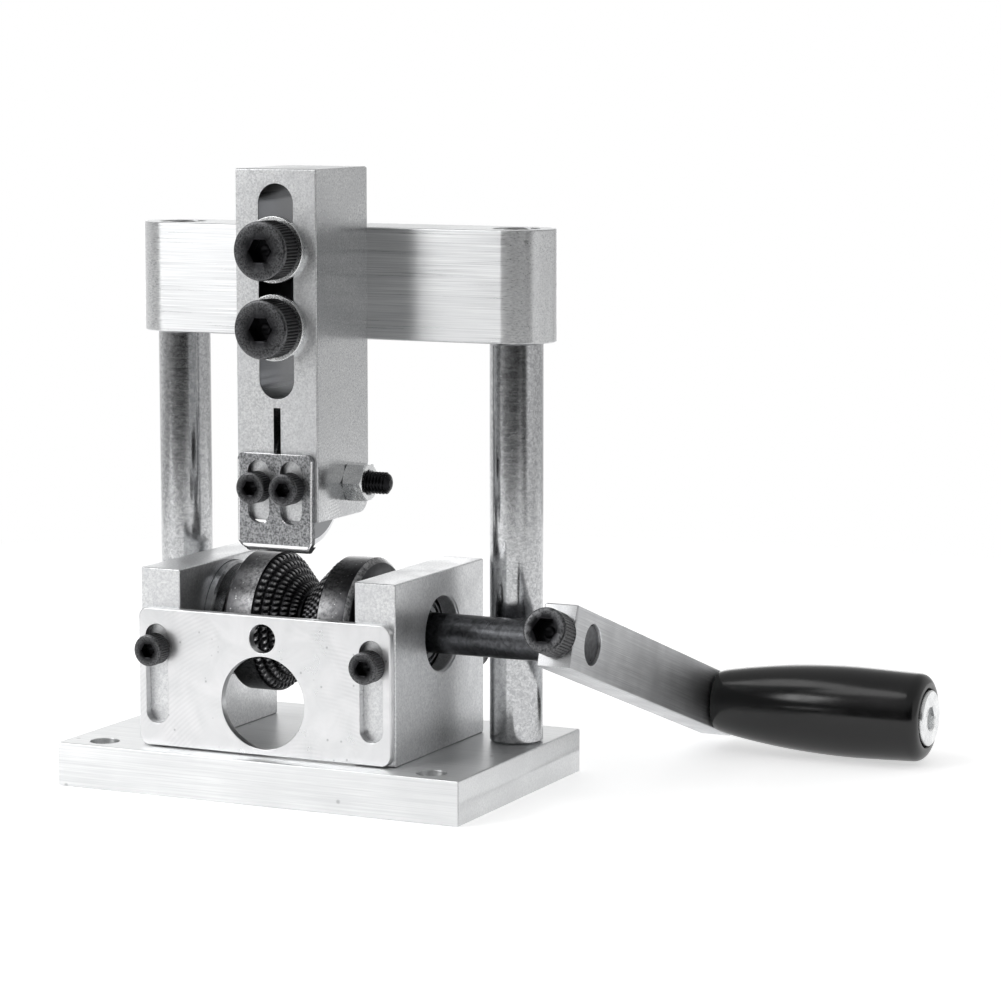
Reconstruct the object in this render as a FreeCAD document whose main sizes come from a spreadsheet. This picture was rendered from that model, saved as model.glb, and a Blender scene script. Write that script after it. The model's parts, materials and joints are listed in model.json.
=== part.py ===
import FreeCAD, Part
import math
import os
import re
import Sketcher
from FreeCAD import Placement, Rotation, Vector

# Hand crank wire stripper.
# X runs along the drive shaft towards the crank, Y runs from the wire guide to the columns, Z is up.
# The origin is the middle of the underside of the base plate. All sizes are in millimetres.

# Driving sizes: name, value, meaning
SIZES = [
    ("base_width", 100, "base plate, left to right"),
    ("base_depth", 64, "base plate, front to back"),
    ("base_thickness", 10, "base plate"),
    ("edge_chamfer", 0.3, "broken edges of the aluminium parts"),
    ("mount_spacing", 82, "between the two bench holes"),
    ("mount_inset", 5.5, "bench holes from the front edge"),
    ("mount_radius", 3.3, "bench holes"),
    ("column_radius", 6, "round columns"),
    ("column_length", 90, "round columns between base and beam"),
    ("column_y", 13.5, "column axes behind the origin"),
    ("column_chamfer", 0.5, "ends of the columns"),
    ("beam_length", 103, "top beam over its round ends"),
    ("beam_depth", 18, "top beam, front to back"),
    ("beam_height", 25, "top beam"),
    ("arm_width", 20, "cutter arm"),
    ("arm_depth", 24, "cutter arm, front to back"),
    ("arm_length", 77, "cutter arm"),
    ("arm_height", 61.5, "underside of the arm above the bench"),
    ("arm_slot_width", 8.5, "clamp slot of the arm"),
    ("arm_slot_length", 47, "clamp slot of the arm"),
    ("arm_slot_rise", 26.8, "foot of the clamp slot above the underside of the arm"),
    ("arm_heel_radius", 4, "rounding of the rear lower edge of the arm"),
    ("slit_width", 1.7, "blade slit of the arm"),
    ("slit_length", 24.8, "blade slit of the arm"),
    ("clamp_spacing", 17, "between the two arm clamp screws"),
    ("clamp_radius", 3, "arm clamp screw shank"),
    ("clamp_head_radius", 6.5, "arm clamp screw head"),
    ("clamp_head_height", 6, "arm clamp screw head"),
    ("clamp_key", 5, "arm clamp screw socket across flats"),
    ("clamp_reach", 14, "arm clamp screw inside the beam"),
    ("washer_radius", 7.3, "arm clamp washer"),
    ("washer_thickness", 1.4, "arm clamp washer"),
    ("blade_radius", 15, "cutting disc"),
    ("blade_thickness", 1.2, "cutting disc"),
    ("blade_bevel", 1.4, "ground bevel of the cutting disc, along the radius"),
    ("blade_edge", 0.1, "land left at the cutting edge"),
    ("blade_y", -4, "blade bolt in front of the origin"),
    ("blade_rise", 7.5, "blade bolt above the underside of the arm"),
    ("bush_radius", 4, "bush between blade and bolt"),
    ("bush_side_clearance", 0.05, "bush to each side of the slit"),
    ("bolt_radius", 2.5, "blade bolt"),
    ("bolt_head_radius", 4.9, "blade bolt head"),
    ("bolt_head_height", 4.3, "blade bolt head"),
    ("bolt_key", 4, "blade bolt socket across flats"),
    ("bolt_length", 30, "blade bolt under its head"),
    ("nut_width", 8, "blade nut across flats"),
    ("nut_height", 4.7, "blade nut"),
    ("guard_width", 18.4, "depth guard"),
    ("guard_height", 22, "depth guard"),
    ("guard_thickness", 1.4, "depth guard sheet"),
    ("guard_drop", 7.1, "foot of the guard below the underside of the arm"),
    ("guard_bend", 2.4, "outer bend radius of the guard foot"),
    ("guard_foot", 3.3, "guard foot, front to back"),
    ("guard_taper", 1.9, "cut corners of the guard foot"),
    ("guard_corner", 1.5, "rounded top corners of the guard"),
    ("guard_slot_spacing", 8.1, "between the two guard slots"),
    ("guard_slot_width", 5.3, "guard slots"),
    ("guard_slot_length", 14, "guard slots"),
    ("guard_slot_rise", 6.5, "foot of the guard slots above the guard foot"),
    ("guard_screw_rise", 7.5, "guard screws above the underside of the arm"),
    ("guard_screw_reach", 8, "guard screws inside the arm"),
    ("small_screw_radius", 2, "guard and plate screws"),
    ("small_head_radius", 3.5, "guard and plate screw heads"),
    ("small_head_height", 4, "guard and plate screw heads"),
    ("small_key", 3, "guard and plate screw sockets across flats"),
    ("block_gap", 43.5, "between the inner faces of the bearing blocks"),
    ("block_thickness", 10, "bearing blocks, left to right"),
    ("block_inset", 6.8, "bearing blocks from the front edge of the base plate"),
    ("block_depth", 44.2, "bearing blocks, front to back"),
    ("block_height", 40, "bearing blocks"),
    ("shoulder_radius", 8.25, "outer opening of each bearing seat"),
    ("block_screw_radius", 2.5, "screws that hold the blocks"),
    ("block_screw_head_radius", 4.25, "screws that hold the blocks"),
    ("block_screw_head_height", 5, "screws that hold the blocks"),
    ("block_screw_key", 4, "screws that hold the blocks"),
    ("block_screw_length", 16, "screws that hold the blocks, under the head"),
    ("block_screw_inset", 7, "block screws from the front and rear faces of the block"),
    ("rear_screw_height", 28, "rear screws of the blocks above the bench"),
    ("rear_screw_reach", 7, "rear screws inside the blocks"),
    ("shaft_radius", 4.5, "drive shaft"),
    ("shaft_inset", 23.2, "drive shaft axis behind the front faces of the bearing blocks"),
    ("shaft_height", 36, "drive shaft above the bench"),
    ("shaft_recess", 0.6, "shaft end inside the outer face of the crank"),
    ("shaft_setback", 1, "left shaft end inside the outer face of the left block"),
    ("shaft_chamfer", 0.4, "shaft ends"),
    ("bearing_radius", 13, "ball bearing, outside"),
    ("bearing_width", 8, "ball bearing"),
    ("bearing_proud", 2, "ball bearing proud of the block"),
    ("bearing_chamfer", 0.5, "ball bearing rings"),
    ("race_thickness", 3.1, "bearing rings, along the radius"),
    ("ball_radius", 2, "bearing balls"),
    ("ball_count", 7, "balls in each bearing"),
    ("shield_thickness", 0.4, "bearing shields"),
    ("shield_inset", 0.3, "bearing shields inside the ring faces"),
    ("spacer_radius", 5.85, "spacers between bearing and wheel"),
    ("spacer_width", 4, "spacers between bearing and wheel"),
    ("wheel_radius", 15.8, "feed wheels"),
    ("groove_radius", 8.4, "bottom of the wire groove"),
    ("cone_width", 7.7, "knurled cone of each wheel, along the shaft"),
    ("wheel_gap", 0.6, "between the two feed wheels"),
    ("wheel_chamfer", 1.1, "outer edges of the feed wheels"),
    ("set_screw_radius", 1.5, "set screws of the feed wheels"),
    ("set_screw_length", 5, "set screws of the feed wheels"),
    ("set_screw_key", 1.5, "set screws of the feed wheels across flats"),
    ("set_screw_inset", 3.8, "set screws from the outer face of the wheel"),
    ("plate_height", 31, "wire guide plate"),
    ("plate_side", 0.35, "bearing blocks wider than the guide plate at each side"),
    ("plate_thickness", 2, "wire guide plate"),
    ("plate_lift", 0.3, "guide plate above the base plate"),
    ("plate_corner", 2.3, "rounded corners of the guide plate"),
    ("large_hole_radius", 10.3, "large wire hole"),
    ("large_hole_rise", 11.7, "large wire hole above the foot of the guide plate"),
    ("small_hole_radius", 3.2, "small wire hole"),
    ("small_hole_rise", 26, "small wire hole above the foot of the guide plate"),
    ("plate_slot_width", 5.5, "guide plate slots"),
    ("plate_slot_length", 22.3, "guide plate slots"),
    ("plate_slot_rise", 5.1, "foot of the slots above the foot of the guide plate"),
    ("plate_screw_height", 32.3, "guide plate screws above the bench"),
    ("plate_screw_reach", 9, "guide plate screws inside the blocks"),
    ("tie_screw_radius", 3, "column and crank screws"),
    ("tie_head_radius", 5, "column and crank screw heads"),
    ("tie_head_height", 6, "column and crank screw heads"),
    ("tie_key", 5, "column and crank screw sockets across flats"),
    ("tie_screw_reach", 12, "column screws inside the columns"),
    ("crank_inset", 28.25, "crank from the outer face of the right block"),
    ("crank_thickness", 8, "crank bar"),
    ("crank_width", 14, "crank bar"),
    ("crank_length", 79, "shaft axis to handle axis"),
    ("crank_hub", 10.5, "shaft axis to the near end of the bar"),
    ("crank_tip", 11, "handle axis to the far end of the bar"),
    ("crank_screw_standoff", 1.3, "crank screw head off the end of the bar"),
    ("bench_clearance", 0.3, "handle above the bench at rest"),
    ("spindle_radius", 3.5, "handle spindle"),
    ("stud_radius", 2.5, "threaded stud of the spindle"),
    ("stud_proud", 3.4, "stud out of the inner face of the bar"),
    ("spindle_head_radius", 6.5, "spindle head"),
    ("spindle_head_height", 3, "spindle head"),
    ("spindle_key", 5, "spindle head socket across flats"),
    ("grip_radius", 10.7, "handle grip at its widest"),
    ("grip_neck_radius", 7.3, "handle grip beside the bar"),
    ("grip_end_radius", 10.3, "handle grip at its outer end"),
    ("grip_length", 51.5, "handle grip"),
    ("grip_widest", 34, "widest part of the grip from its neck"),
    ("grip_rounding", 2.8, "outer edge of the grip"),
    ("grip_side_clearance", 0.4, "grip to the bar"),
    ("spindle_head_proud", 0.8, "spindle head out of the grip end"),
    ("socket_depth_share", 0.55, "depth of the hexagon sockets as a share of the head"),
    ("head_chamfer", 0.4, "edges of the screw heads"),
    ("run_clearance", 0.05, "radial clearance of turning and threaded fits"),
    ("slide_clearance", 0.3, "radial clearance of screws in plain holes"),
    ("counterbore_clearance", 0.4, "radial clearance round sunk heads"),
    ("sunk_depth", 0.2, "sunk heads below the surface"),
    ("hole_spare", 2, "tapped holes deeper than their screws"),
]

# Places worked out from the driving sizes
BEAM_BOTTOM = "(base_thickness + column_length)"
BEAM_MIDDLE = "(base_thickness + column_length + beam_height / 2)"
BEAM_FRONT = "(column_y - beam_depth / 2)"
COLUMN_X = "((beam_length - beam_depth) / 2)"
ARM_FRONT = "(column_y - beam_depth / 2 - arm_depth)"
GUARD_FRONT = "(column_y - beam_depth / 2 - arm_depth - guard_thickness)"
GUARD_FOOT = "(arm_height - guard_drop)"
BLADE_HEIGHT = "(arm_height + blade_rise)"
BLOCK_X = "(block_gap / 2 + block_thickness / 2)"
BLOCK_OUTER = "(block_gap / 2 + block_thickness)"
BLOCK_FRONT = "(block_inset - base_depth / 2)"
BLOCK_REAR = f"({BLOCK_FRONT} + block_depth)"
SHAFT_Y = f"({BLOCK_FRONT} + shaft_inset)"
PLATE_FRONT = f"({BLOCK_FRONT} - plate_thickness)"
PLATE_FOOT = "(base_thickness + plate_lift)"
BEARING_INNER = "(block_gap / 2 - bearing_proud)"
BEARING_MIDDLE = "(block_gap / 2 - bearing_proud + bearing_width / 2)"
PITCH_RADIUS = "((shaft_radius + bearing_radius) / 2)"
WHEEL_OUTER = "(block_gap / 2 - bearing_proud - spacer_width)"
CRANK_X = "(block_gap / 2 + block_thickness + crank_inset)"
CRANK_DROP = "asin((shaft_height - grip_radius - bench_clearance) / crank_length)"
HANDLE_Y = f"({SHAFT_Y} + crank_length * cos({CRANK_DROP}))"
HANDLE_HEIGHT = "(grip_radius + bench_clearance)"
BORE_RADIUS = "(shaft_radius + run_clearance)"

doc = FreeCAD.newDocument("HandCrankWireStripper")
sheet = doc.addObject("Spreadsheet::Sheet", "Sizes")
for row, (alias, number, meaning) in enumerate(SIZES, start=1):
    sheet.set(f"A{row}", meaning)
    sheet.set(f"B{row}", str(number))
    sheet.setAlias(f"B{row}", alias)
doc.recompute()

ALIASES = {alias for alias, _, _ in SIZES}
NODES = []


def formula(text):
    """The text with every size name pointed at its cell."""
    return re.sub(r"[a-z_]+", lambda word: f"Sizes.{word[0]}" if word[0] in ALIASES else word[0], text)


def value(text):
    result = sheet.evalExpression(formula(text))
    return float(getattr(result, "Value", result))


def bind(thing, **properties):
    """Bind properties of an object to formulas of the sheet."""
    for name, text in properties.items():
        thing.setExpression(name, formula(text))


def put(thing, x="0", y="0", z="0", axis=None, angle="0"):
    """Place an object, with its position and its turn bound to the sheet."""
    if axis is not None:
        thing.Placement = Placement(Vector(), Rotation(axis, value(angle)))
        thing.setExpression("Placement.Rotation.Angle", formula(f"({angle}) * 1 deg / 1 deg"))
    for letter, text in (("x", x), ("y", y), ("z", z)):
        if text != "0":
            thing.setExpression(f"Placement.Base.{letter}", formula(text))
    return thing


def node(thing, label):
    """Name an object as one sub-part of the machine."""
    thing.Label = label
    NODES.append(thing)
    return thing


# Sketches

def new_body(name):
    return doc.addObject("PartDesign::Body", name + "_body")


def new_sketch(body, name, plane, offset="0"):
    """A sketch on an origin plane of its body, moved along the normal of that plane."""
    sketch = body.newObject("Sketcher::SketchObject", name)
    support = next(part for part in body.Origin.OriginFeatures if part.Role == plane)
    sketch.AttachmentSupport = (support, "")
    sketch.MapMode = "FlatFace"
    if offset != "0":
        sketch.setExpression("AttachmentOffset.Base.z", formula(offset))
    return sketch


def pin_point(sketch, geometry, point, x, y):
    """Hold a point of the sketch at a formula along each axis."""
    for kind, text, axis in (("DistanceX", x, -2), ("DistanceY", y, -1)):
        if text == "0":
            sketch.addConstraint(Sketcher.Constraint("PointOnObject", geometry, point, axis))
            continue
        number = sketch.addConstraint(Sketcher.Constraint(kind, -1, 1, geometry, point, value(text)))
        sketch.setExpression(f"Constraints[{number}]", formula(text))


def draw_polygon(sketch, corners, bowed=False):
    """A closed outline. Where bowed, its last side is an arc that leaves the last corner level."""
    first = sketch.GeometryCount
    points = [Vector(value(x), value(y), 0) for x, y in corners]
    count = len(points)
    straight = count - 1 if bowed else count
    for index in range(straight):
        sketch.addGeometry(Part.LineSegment(points[index], points[(index + 1) % count]), False)
    if bowed:
        start, end = points[-1], points[0]
        across, drop = start.x - end.x, start.y - end.y
        size = (across * across + drop * drop) / (2 * drop)
        centre = Vector(start.x, start.y - size, 0)
        turn = math.asin(across / size)
        quarter = math.pi / 2
        circle = Part.Circle(centre, Vector(0, 0, 1), size)
        sketch.addGeometry(Part.ArcOfCircle(circle, quarter, quarter + turn), False)
    for index in range(count):
        following = first + (index + 1) % count
        sketch.addConstraint(Sketcher.Constraint("Coincident", first + index, 2, following, 1))
    for index, (x, y) in enumerate(corners):
        pin_point(sketch, first + index, 1, x, y)
    if bowed:
        x, y = corners[-1]
        held = sketch.addConstraint(Sketcher.Constraint("DistanceX", -1, 1, first + straight, 3, value(x)))
        sketch.setExpression(f"Constraints[{held}]", formula(x))


def draw_rectangle(sketch, left, low, right, high):
    draw_polygon(sketch, [(left, low), (right, low), (right, high), (left, high)])


def draw_circle(sketch, x, y, radius):
    centre = Vector(value(x), value(y), 0)
    number = sketch.addGeometry(Part.Circle(centre, Vector(0, 0, 1), value(radius)), False)
    held = sketch.addConstraint(Sketcher.Constraint("Radius", number, value(radius)))
    sketch.setExpression(f"Constraints[{held}]", formula(radius))
    pin_point(sketch, number, 3, x, y)


def draw_obround(sketch, first_centre, second_centre, radius):
    """Two half circles joined by straight lines. The second centre lies above or to the right."""
    ends = [Vector(value(x), value(y), 0) for x, y in (first_centre, second_centre)]
    along = (ends[1] - ends[0]).normalize()
    heading = Vector(1, 0, 0).getAngle(along)
    size = value(radius)
    quarter = math.pi / 2
    side = Vector(-along.y, along.x, 0) * size
    base = sketch.GeometryCount
    turns = ((heading + quarter, heading + 3 * quarter), (heading - quarter, heading + quarter))
    for centre, (start, stop) in zip(ends, turns):
        sketch.addGeometry(Part.ArcOfCircle(Part.Circle(centre, Vector(0, 0, 1), size), start, stop), False)
    sketch.addGeometry(Part.LineSegment(ends[0] - side, ends[1] - side), False)
    sketch.addGeometry(Part.LineSegment(ends[1] + side, ends[0] + side), False)
    for one, one_point, two, two_point in ((base, 2, base + 2, 1), (base + 2, 2, base + 1, 1),
                                           (base + 1, 2, base + 3, 1), (base + 3, 2, base, 1)):
        sketch.addConstraint(Sketcher.Constraint("Tangent", one, one_point, two, two_point))
    held = sketch.addConstraint(Sketcher.Constraint("Radius", base, size))
    sketch.setExpression(f"Constraints[{held}]", formula(radius))
    pin_point(sketch, base, 3, *first_centre)
    pin_point(sketch, base + 1, 3, *second_centre)


# Features

def pad(body, sketch, length, reverse=False):
    feature = body.newObject("PartDesign::Pad", sketch.Name + "_pad")
    feature.Profile = sketch
    feature.Reversed = reverse
    bind(feature, Length=length)
    doc.recompute()
    return feature


def pocket(body, sketch, length=None, reverse=False):
    """Cut the sketch into the body, right through where no length is given."""
    before = body.Shape.Volume
    feature = body.newObject("PartDesign::Pocket", sketch.Name + "_pocket")
    feature.Profile = sketch
    feature.Reversed = reverse
    if length is None:
        feature.Type = "ThroughAll"
    else:
        bind(feature, Length=length)
    doc.recompute()
    if not body.Shape.Volume < before:
        raise ValueError(f"{feature.Name} cuts nothing")
    return feature


def revolve(body, sketch, axis):
    feature = body.newObject("PartDesign::Revolution", sketch.Name + "_turned")
    feature.Profile = sketch
    feature.ReferenceAxis = (sketch, [axis])
    feature.Angle = 360
    doc.recompute()
    return feature


def dress(body, kind, size_name, size, chosen):
    """Fillet or chamfer the edges of the body that the test accepts."""
    tip = body.Tip
    names = [f"Edge{number}" for number, edge in enumerate(tip.Shape.Edges, start=1) if chosen(edge)]
    feature = body.newObject(kind, f"{tip.Name}_{size_name}")
    feature.Base = (tip, names)
    bind(feature, **{size_name: size})
    doc.recompute()
    return feature


def near(first, second):
    return abs(first - second) < 1e-4


def runs_along(edge, direction):
    if edge.Curve.TypeId != "Part::GeomLine":
        return False
    return abs(abs(edge.Curve.Direction.dot(direction)) - 1) < 1e-6


def corner_edges(box):
    """A test for straight edges that lie on two outer planes of a box."""
    def chosen(edge):
        if edge.Curve.TypeId != "Part::GeomLine":
            return False
        one, two = (vertex.Point for vertex in edge.Vertexes)
        planes = 0
        sides = (("x", box.XMin, box.XMax), ("y", box.YMin, box.YMax), ("z", box.ZMin, box.ZMax))
        for letter, low, high in sides:
            first, second = getattr(one, letter), getattr(two, letter)
            planes += near(first, second) and (near(first, low) or near(first, high))
        return planes == 2
    return chosen


def tube(name, outer, inner, length):
    """A round tube along Z, from the origin up."""
    wall = doc.addObject("Part::Cylinder", name + "_outside")
    bind(wall, Radius=outer, Height=length)
    bore = doc.addObject("Part::Cylinder", name + "_inside")
    bind(bore, Radius=inner, Height=length)
    cut = doc.addObject("Part::Cut", name)
    cut.Base = wall
    cut.Tool = bore
    return cut


def cap_screw(name, shank, length, head, head_height, key):
    """A socket head screw: the head stands up from the origin, the shank hangs down."""
    rim = doc.addObject("Part::Cylinder", name + "_rim")
    bind(rim, Radius=head, Height=f"{head_height} - head_chamfer")
    crown = doc.addObject("Part::Cone", name + "_crown")
    bind(crown, Radius1=head, Radius2=f"{head} - head_chamfer", Height="head_chamfer")
    put(crown, z=f"{head_height} - head_chamfer")
    stem = doc.addObject("Part::Cylinder", name + "_stem")
    bind(stem, Radius=shank, Height=length)
    put(stem, z=f"-({length})")
    blank = doc.addObject("Part::MultiFuse", name + "_blank")
    blank.Shapes = [rim, crown, stem]
    socket = doc.addObject("Part::Prism", name + "_socket")
    socket.Polygon = 6
    bind(socket, Circumradius=f"{key} / 2 / cos(30 deg)", Height=f"{head_height}")
    put(socket, z=f"{head_height} * (1 - socket_depth_share)")
    screw = doc.addObject("Part::Cut", name)
    screw.Base = blank
    screw.Tool = socket
    return screw


def group(label, master, places):
    """One node of equal pieces: a link to the master at each place."""
    links = []
    for number, place in enumerate(places, start=1):
        link = doc.addObject("App::Link", f"{label}_{number}")
        link.LinkedObject = master
        links.append(put(link, **place))
    compound = doc.addObject("Part::Compound", label + "_group")
    compound.Links = links
    return node(compound, label)


X_AXIS, Y_AXIS, Z_AXIS = Vector(1, 0, 0), Vector(0, 1, 0), Vector(0, 0, 1)
FACING_FRONT = {"axis": X_AXIS, "angle": "90"}
FACING_REAR = {"axis": X_AXIS, "angle": "-90"}
FACING_DOWN = {"axis": X_AXIS, "angle": "180"}
SIDES = (-1, 1)


# Base plate

def make_base_plate():
    body = new_body("base_plate")
    outline = new_sketch(body, "base_outline", "XY_Plane")
    draw_rectangle(outline, "-base_width / 2", "-base_depth / 2", "base_width / 2", "base_depth / 2")
    pad(body, outline, "base_thickness")
    dress(body, "PartDesign::Chamfer", "Size", "edge_chamfer", corner_edges(body.Shape.BoundBox))
    bench_holes = new_sketch(body, "bench_holes", "XY_Plane")
    for side in SIDES:
        x = f"{side} * mount_spacing / 2"
        draw_circle(bench_holes, x, "mount_inset - base_depth / 2", "mount_radius")
    pocket(body, bench_holes, reverse=True)
    column_places = [(f"{side} * {COLUMN_X}", "column_y") for side in SIDES]
    block_places = [(f"{side} * {BLOCK_X}", y) for side in SIDES for y in
                    (f"{BLOCK_FRONT} + block_screw_inset", f"{BLOCK_REAR} - block_screw_inset")]
    for name, places, shank, head, height in (
            ("column", column_places, "tie_screw_radius", "tie_head_radius", "tie_head_height"),
            ("block", block_places, "block_screw_radius", "block_screw_head_radius",
             "block_screw_head_height")):
        through = new_sketch(body, f"{name}_screw_holes", "XY_Plane")
        sunk = new_sketch(body, f"{name}_head_holes", "XY_Plane")
        for x, y in places:
            draw_circle(through, x, y, f"{shank} + slide_clearance")
            draw_circle(sunk, x, y, f"{head} + counterbore_clearance")
        pocket(body, through, reverse=True)
        pocket(body, sunk, f"{height} + sunk_depth", reverse=True)
    return node(body, "base_plate")


# Columns and beam

def make_column(side, label):
    body = new_body(label)
    profile = new_sketch(body, f"{label}_profile", "XZ_Plane")
    hole = "(tie_screw_radius + run_clearance)"
    depth = "(tie_screw_reach + hole_spare)"
    draw_polygon(profile, [
        ("0", depth), (hole, depth), (hole, "0"), ("column_radius - column_chamfer", "0"),
        ("column_radius", "column_chamfer"), ("column_radius", "column_length - column_chamfer"),
        ("column_radius - column_chamfer", "column_length"), (hole, "column_length"),
        (hole, f"column_length - {depth}"), ("0", f"column_length - {depth}")])
    revolve(body, profile, "V_Axis")
    put(body, x=f"{side} * {COLUMN_X}", y="column_y", z="base_thickness")
    return node(body, label)


def make_top_beam():
    body = new_body("top_beam")
    outline = new_sketch(body, "beam_outline", "XY_Plane", BEAM_BOTTOM)
    draw_obround(outline, (f"-{COLUMN_X}", "column_y"), (COLUMN_X, "column_y"), "beam_depth / 2")
    pad(body, outline, "beam_height")
    box = body.Shape.BoundBox
    dress(body, "PartDesign::Chamfer", "Size", "edge_chamfer",
          lambda edge: near(edge.BoundBox.ZMin, edge.BoundBox.ZMax)
          and (near(edge.BoundBox.ZMin, box.ZMin) or near(edge.BoundBox.ZMin, box.ZMax)))
    holes = new_sketch(body, "beam_screw_holes", "XY_Plane", BEAM_BOTTOM)
    sunk = new_sketch(body, "beam_head_holes", "XY_Plane", f"{BEAM_BOTTOM} + beam_height")
    for side in SIDES:
        draw_circle(holes, f"{side} * {COLUMN_X}", "column_y", "tie_screw_radius + slide_clearance")
        draw_circle(sunk, f"{side} * {COLUMN_X}", "column_y", "tie_head_radius + counterbore_clearance")
    pocket(body, holes, reverse=True)
    pocket(body, sunk, "tie_head_height + sunk_depth")
    tapped = new_sketch(body, "beam_tapped_holes", "XZ_Plane", f"-{BEAM_FRONT}")
    for side in SIDES:
        height = f"{BEAM_MIDDLE} + {side} * clamp_spacing / 2"
        draw_circle(tapped, "0", height, "clamp_radius + run_clearance")
    pocket(body, tapped)
    return node(body, "top_beam")


def make_tie_screws():
    sunk = "tie_head_height + sunk_depth"
    beam_screw = cap_screw("beam_screw", "tie_screw_radius", f"beam_height - ({sunk}) + tie_screw_reach",
                           "tie_head_radius", "tie_head_height", "tie_key")
    top = f"{BEAM_BOTTOM} + beam_height - ({sunk})"
    group("beam_screws", beam_screw,
          [{"x": f"{side} * {COLUMN_X}", "y": "column_y", "z": top} for side in SIDES])
    foot_screw = cap_screw("foot_screw", "tie_screw_radius", f"base_thickness - ({sunk}) + tie_screw_reach",
                           "tie_head_radius", "tie_head_height", "tie_key")
    group("column_base_screws", foot_screw,
          [{"x": f"{side} * {COLUMN_X}", "y": "column_y", "z": sunk, **FACING_DOWN} for side in SIDES])


# Bearing blocks with their bearings

def make_bearing_block(side, label):
    body = new_body(label)
    away = side < 0
    outline = new_sketch(body, f"{label}_outline", "YZ_Plane", f"{side} * block_gap / 2")
    draw_rectangle(outline, BLOCK_FRONT, "base_thickness", BLOCK_REAR, "base_thickness + block_height")
    pad(body, outline, "block_thickness", reverse=away)
    dress(body, "PartDesign::Chamfer", "Size", "edge_chamfer", corner_edges(body.Shape.BoundBox))
    opening = new_sketch(body, f"{label}_opening", "YZ_Plane", f"{side} * block_gap / 2")
    draw_circle(opening, SHAFT_Y, "shaft_height", "shoulder_radius")
    pocket(body, opening, reverse=not away)
    seat = new_sketch(body, f"{label}_seat", "YZ_Plane", f"{side} * block_gap / 2")
    draw_circle(seat, SHAFT_Y, "shaft_height", "bearing_radius + run_clearance")
    pocket(body, seat, "bearing_width - bearing_proud", reverse=not away)
    below = new_sketch(body, f"{label}_base_holes", "XY_Plane", "base_thickness")
    for y in (f"{BLOCK_FRONT} + block_screw_inset", f"{BLOCK_REAR} - block_screw_inset"):
        draw_circle(below, f"{side} * {BLOCK_X}", y, "block_screw_radius + run_clearance")
    reach = "block_screw_length - (base_thickness - block_screw_head_height - sunk_depth)"
    pocket(body, below, f"{reach} + hole_spare / 2", reverse=True)
    front = new_sketch(body, f"{label}_front_hole", "XZ_Plane", f"-{BLOCK_FRONT}")
    draw_circle(front, f"{side} * {BLOCK_X}", "plate_screw_height", "small_screw_radius + run_clearance")
    pocket(body, front, "plate_screw_reach + hole_spare / 4")
    rear = new_sketch(body, f"{label}_rear_hole", "XZ_Plane", f"-{BLOCK_REAR}")
    draw_circle(rear, f"{side} * {BLOCK_X}", "rear_screw_height", "block_screw_radius + run_clearance")
    pocket(body, rear, "rear_screw_reach + hole_spare / 2", reverse=True)
    return node(body, label)


def make_block_screws():
    screw = cap_screw("block_screw", "block_screw_radius", "block_screw_length", "block_screw_head_radius",
                      "block_screw_head_height", "block_screw_key")
    rows = (f"{BLOCK_FRONT} + block_screw_inset", f"{BLOCK_REAR} - block_screw_inset")
    group("block_base_screws", screw,
          [{"x": f"{side} * {BLOCK_X}", "y": y, "z": "block_screw_head_height + sunk_depth", **FACING_DOWN}
           for side in SIDES for y in rows])
    rear_screw = cap_screw("rear_screw", "block_screw_radius", "rear_screw_reach", "block_screw_head_radius",
                           "block_screw_head_height", "block_screw_key")
    group("block_rear_screws", rear_screw,
          [{"x": f"{side} * {BLOCK_X}", "y": BLOCK_REAR, "z": "rear_screw_height", **FACING_REAR}
           for side in SIDES])


def make_race(name, outer, inner, outer_chamfered):
    """One ring of a ball bearing about X, with its ball track cut away."""
    body = new_body(name)
    profile = new_sketch(body, f"{name}_profile", "XZ_Plane")
    half = "bearing_width / 2"
    if outer_chamfered:
        corners = [(f"-{half}", inner), (half, inner), (half, f"{outer} - bearing_chamfer"),
                   (f"{half} - bearing_chamfer", outer), (f"bearing_chamfer - {half}", outer),
                   (f"-{half}", f"{outer} - bearing_chamfer")]
    else:
        corners = [(f"-{half}", inner), (half, inner), (half, outer), (f"-{half}", outer)]
    draw_polygon(profile, corners)
    revolve(body, profile, "H_Axis")
    track = doc.addObject("Part::Torus", f"{name}_track")
    bind(track, Radius1=PITCH_RADIUS, Radius2="ball_radius + run_clearance")
    put(track, axis=Y_AXIS, angle="90")
    ring = doc.addObject("Part::Cut", name)
    ring.Base = body
    ring.Tool = track
    return ring


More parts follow.
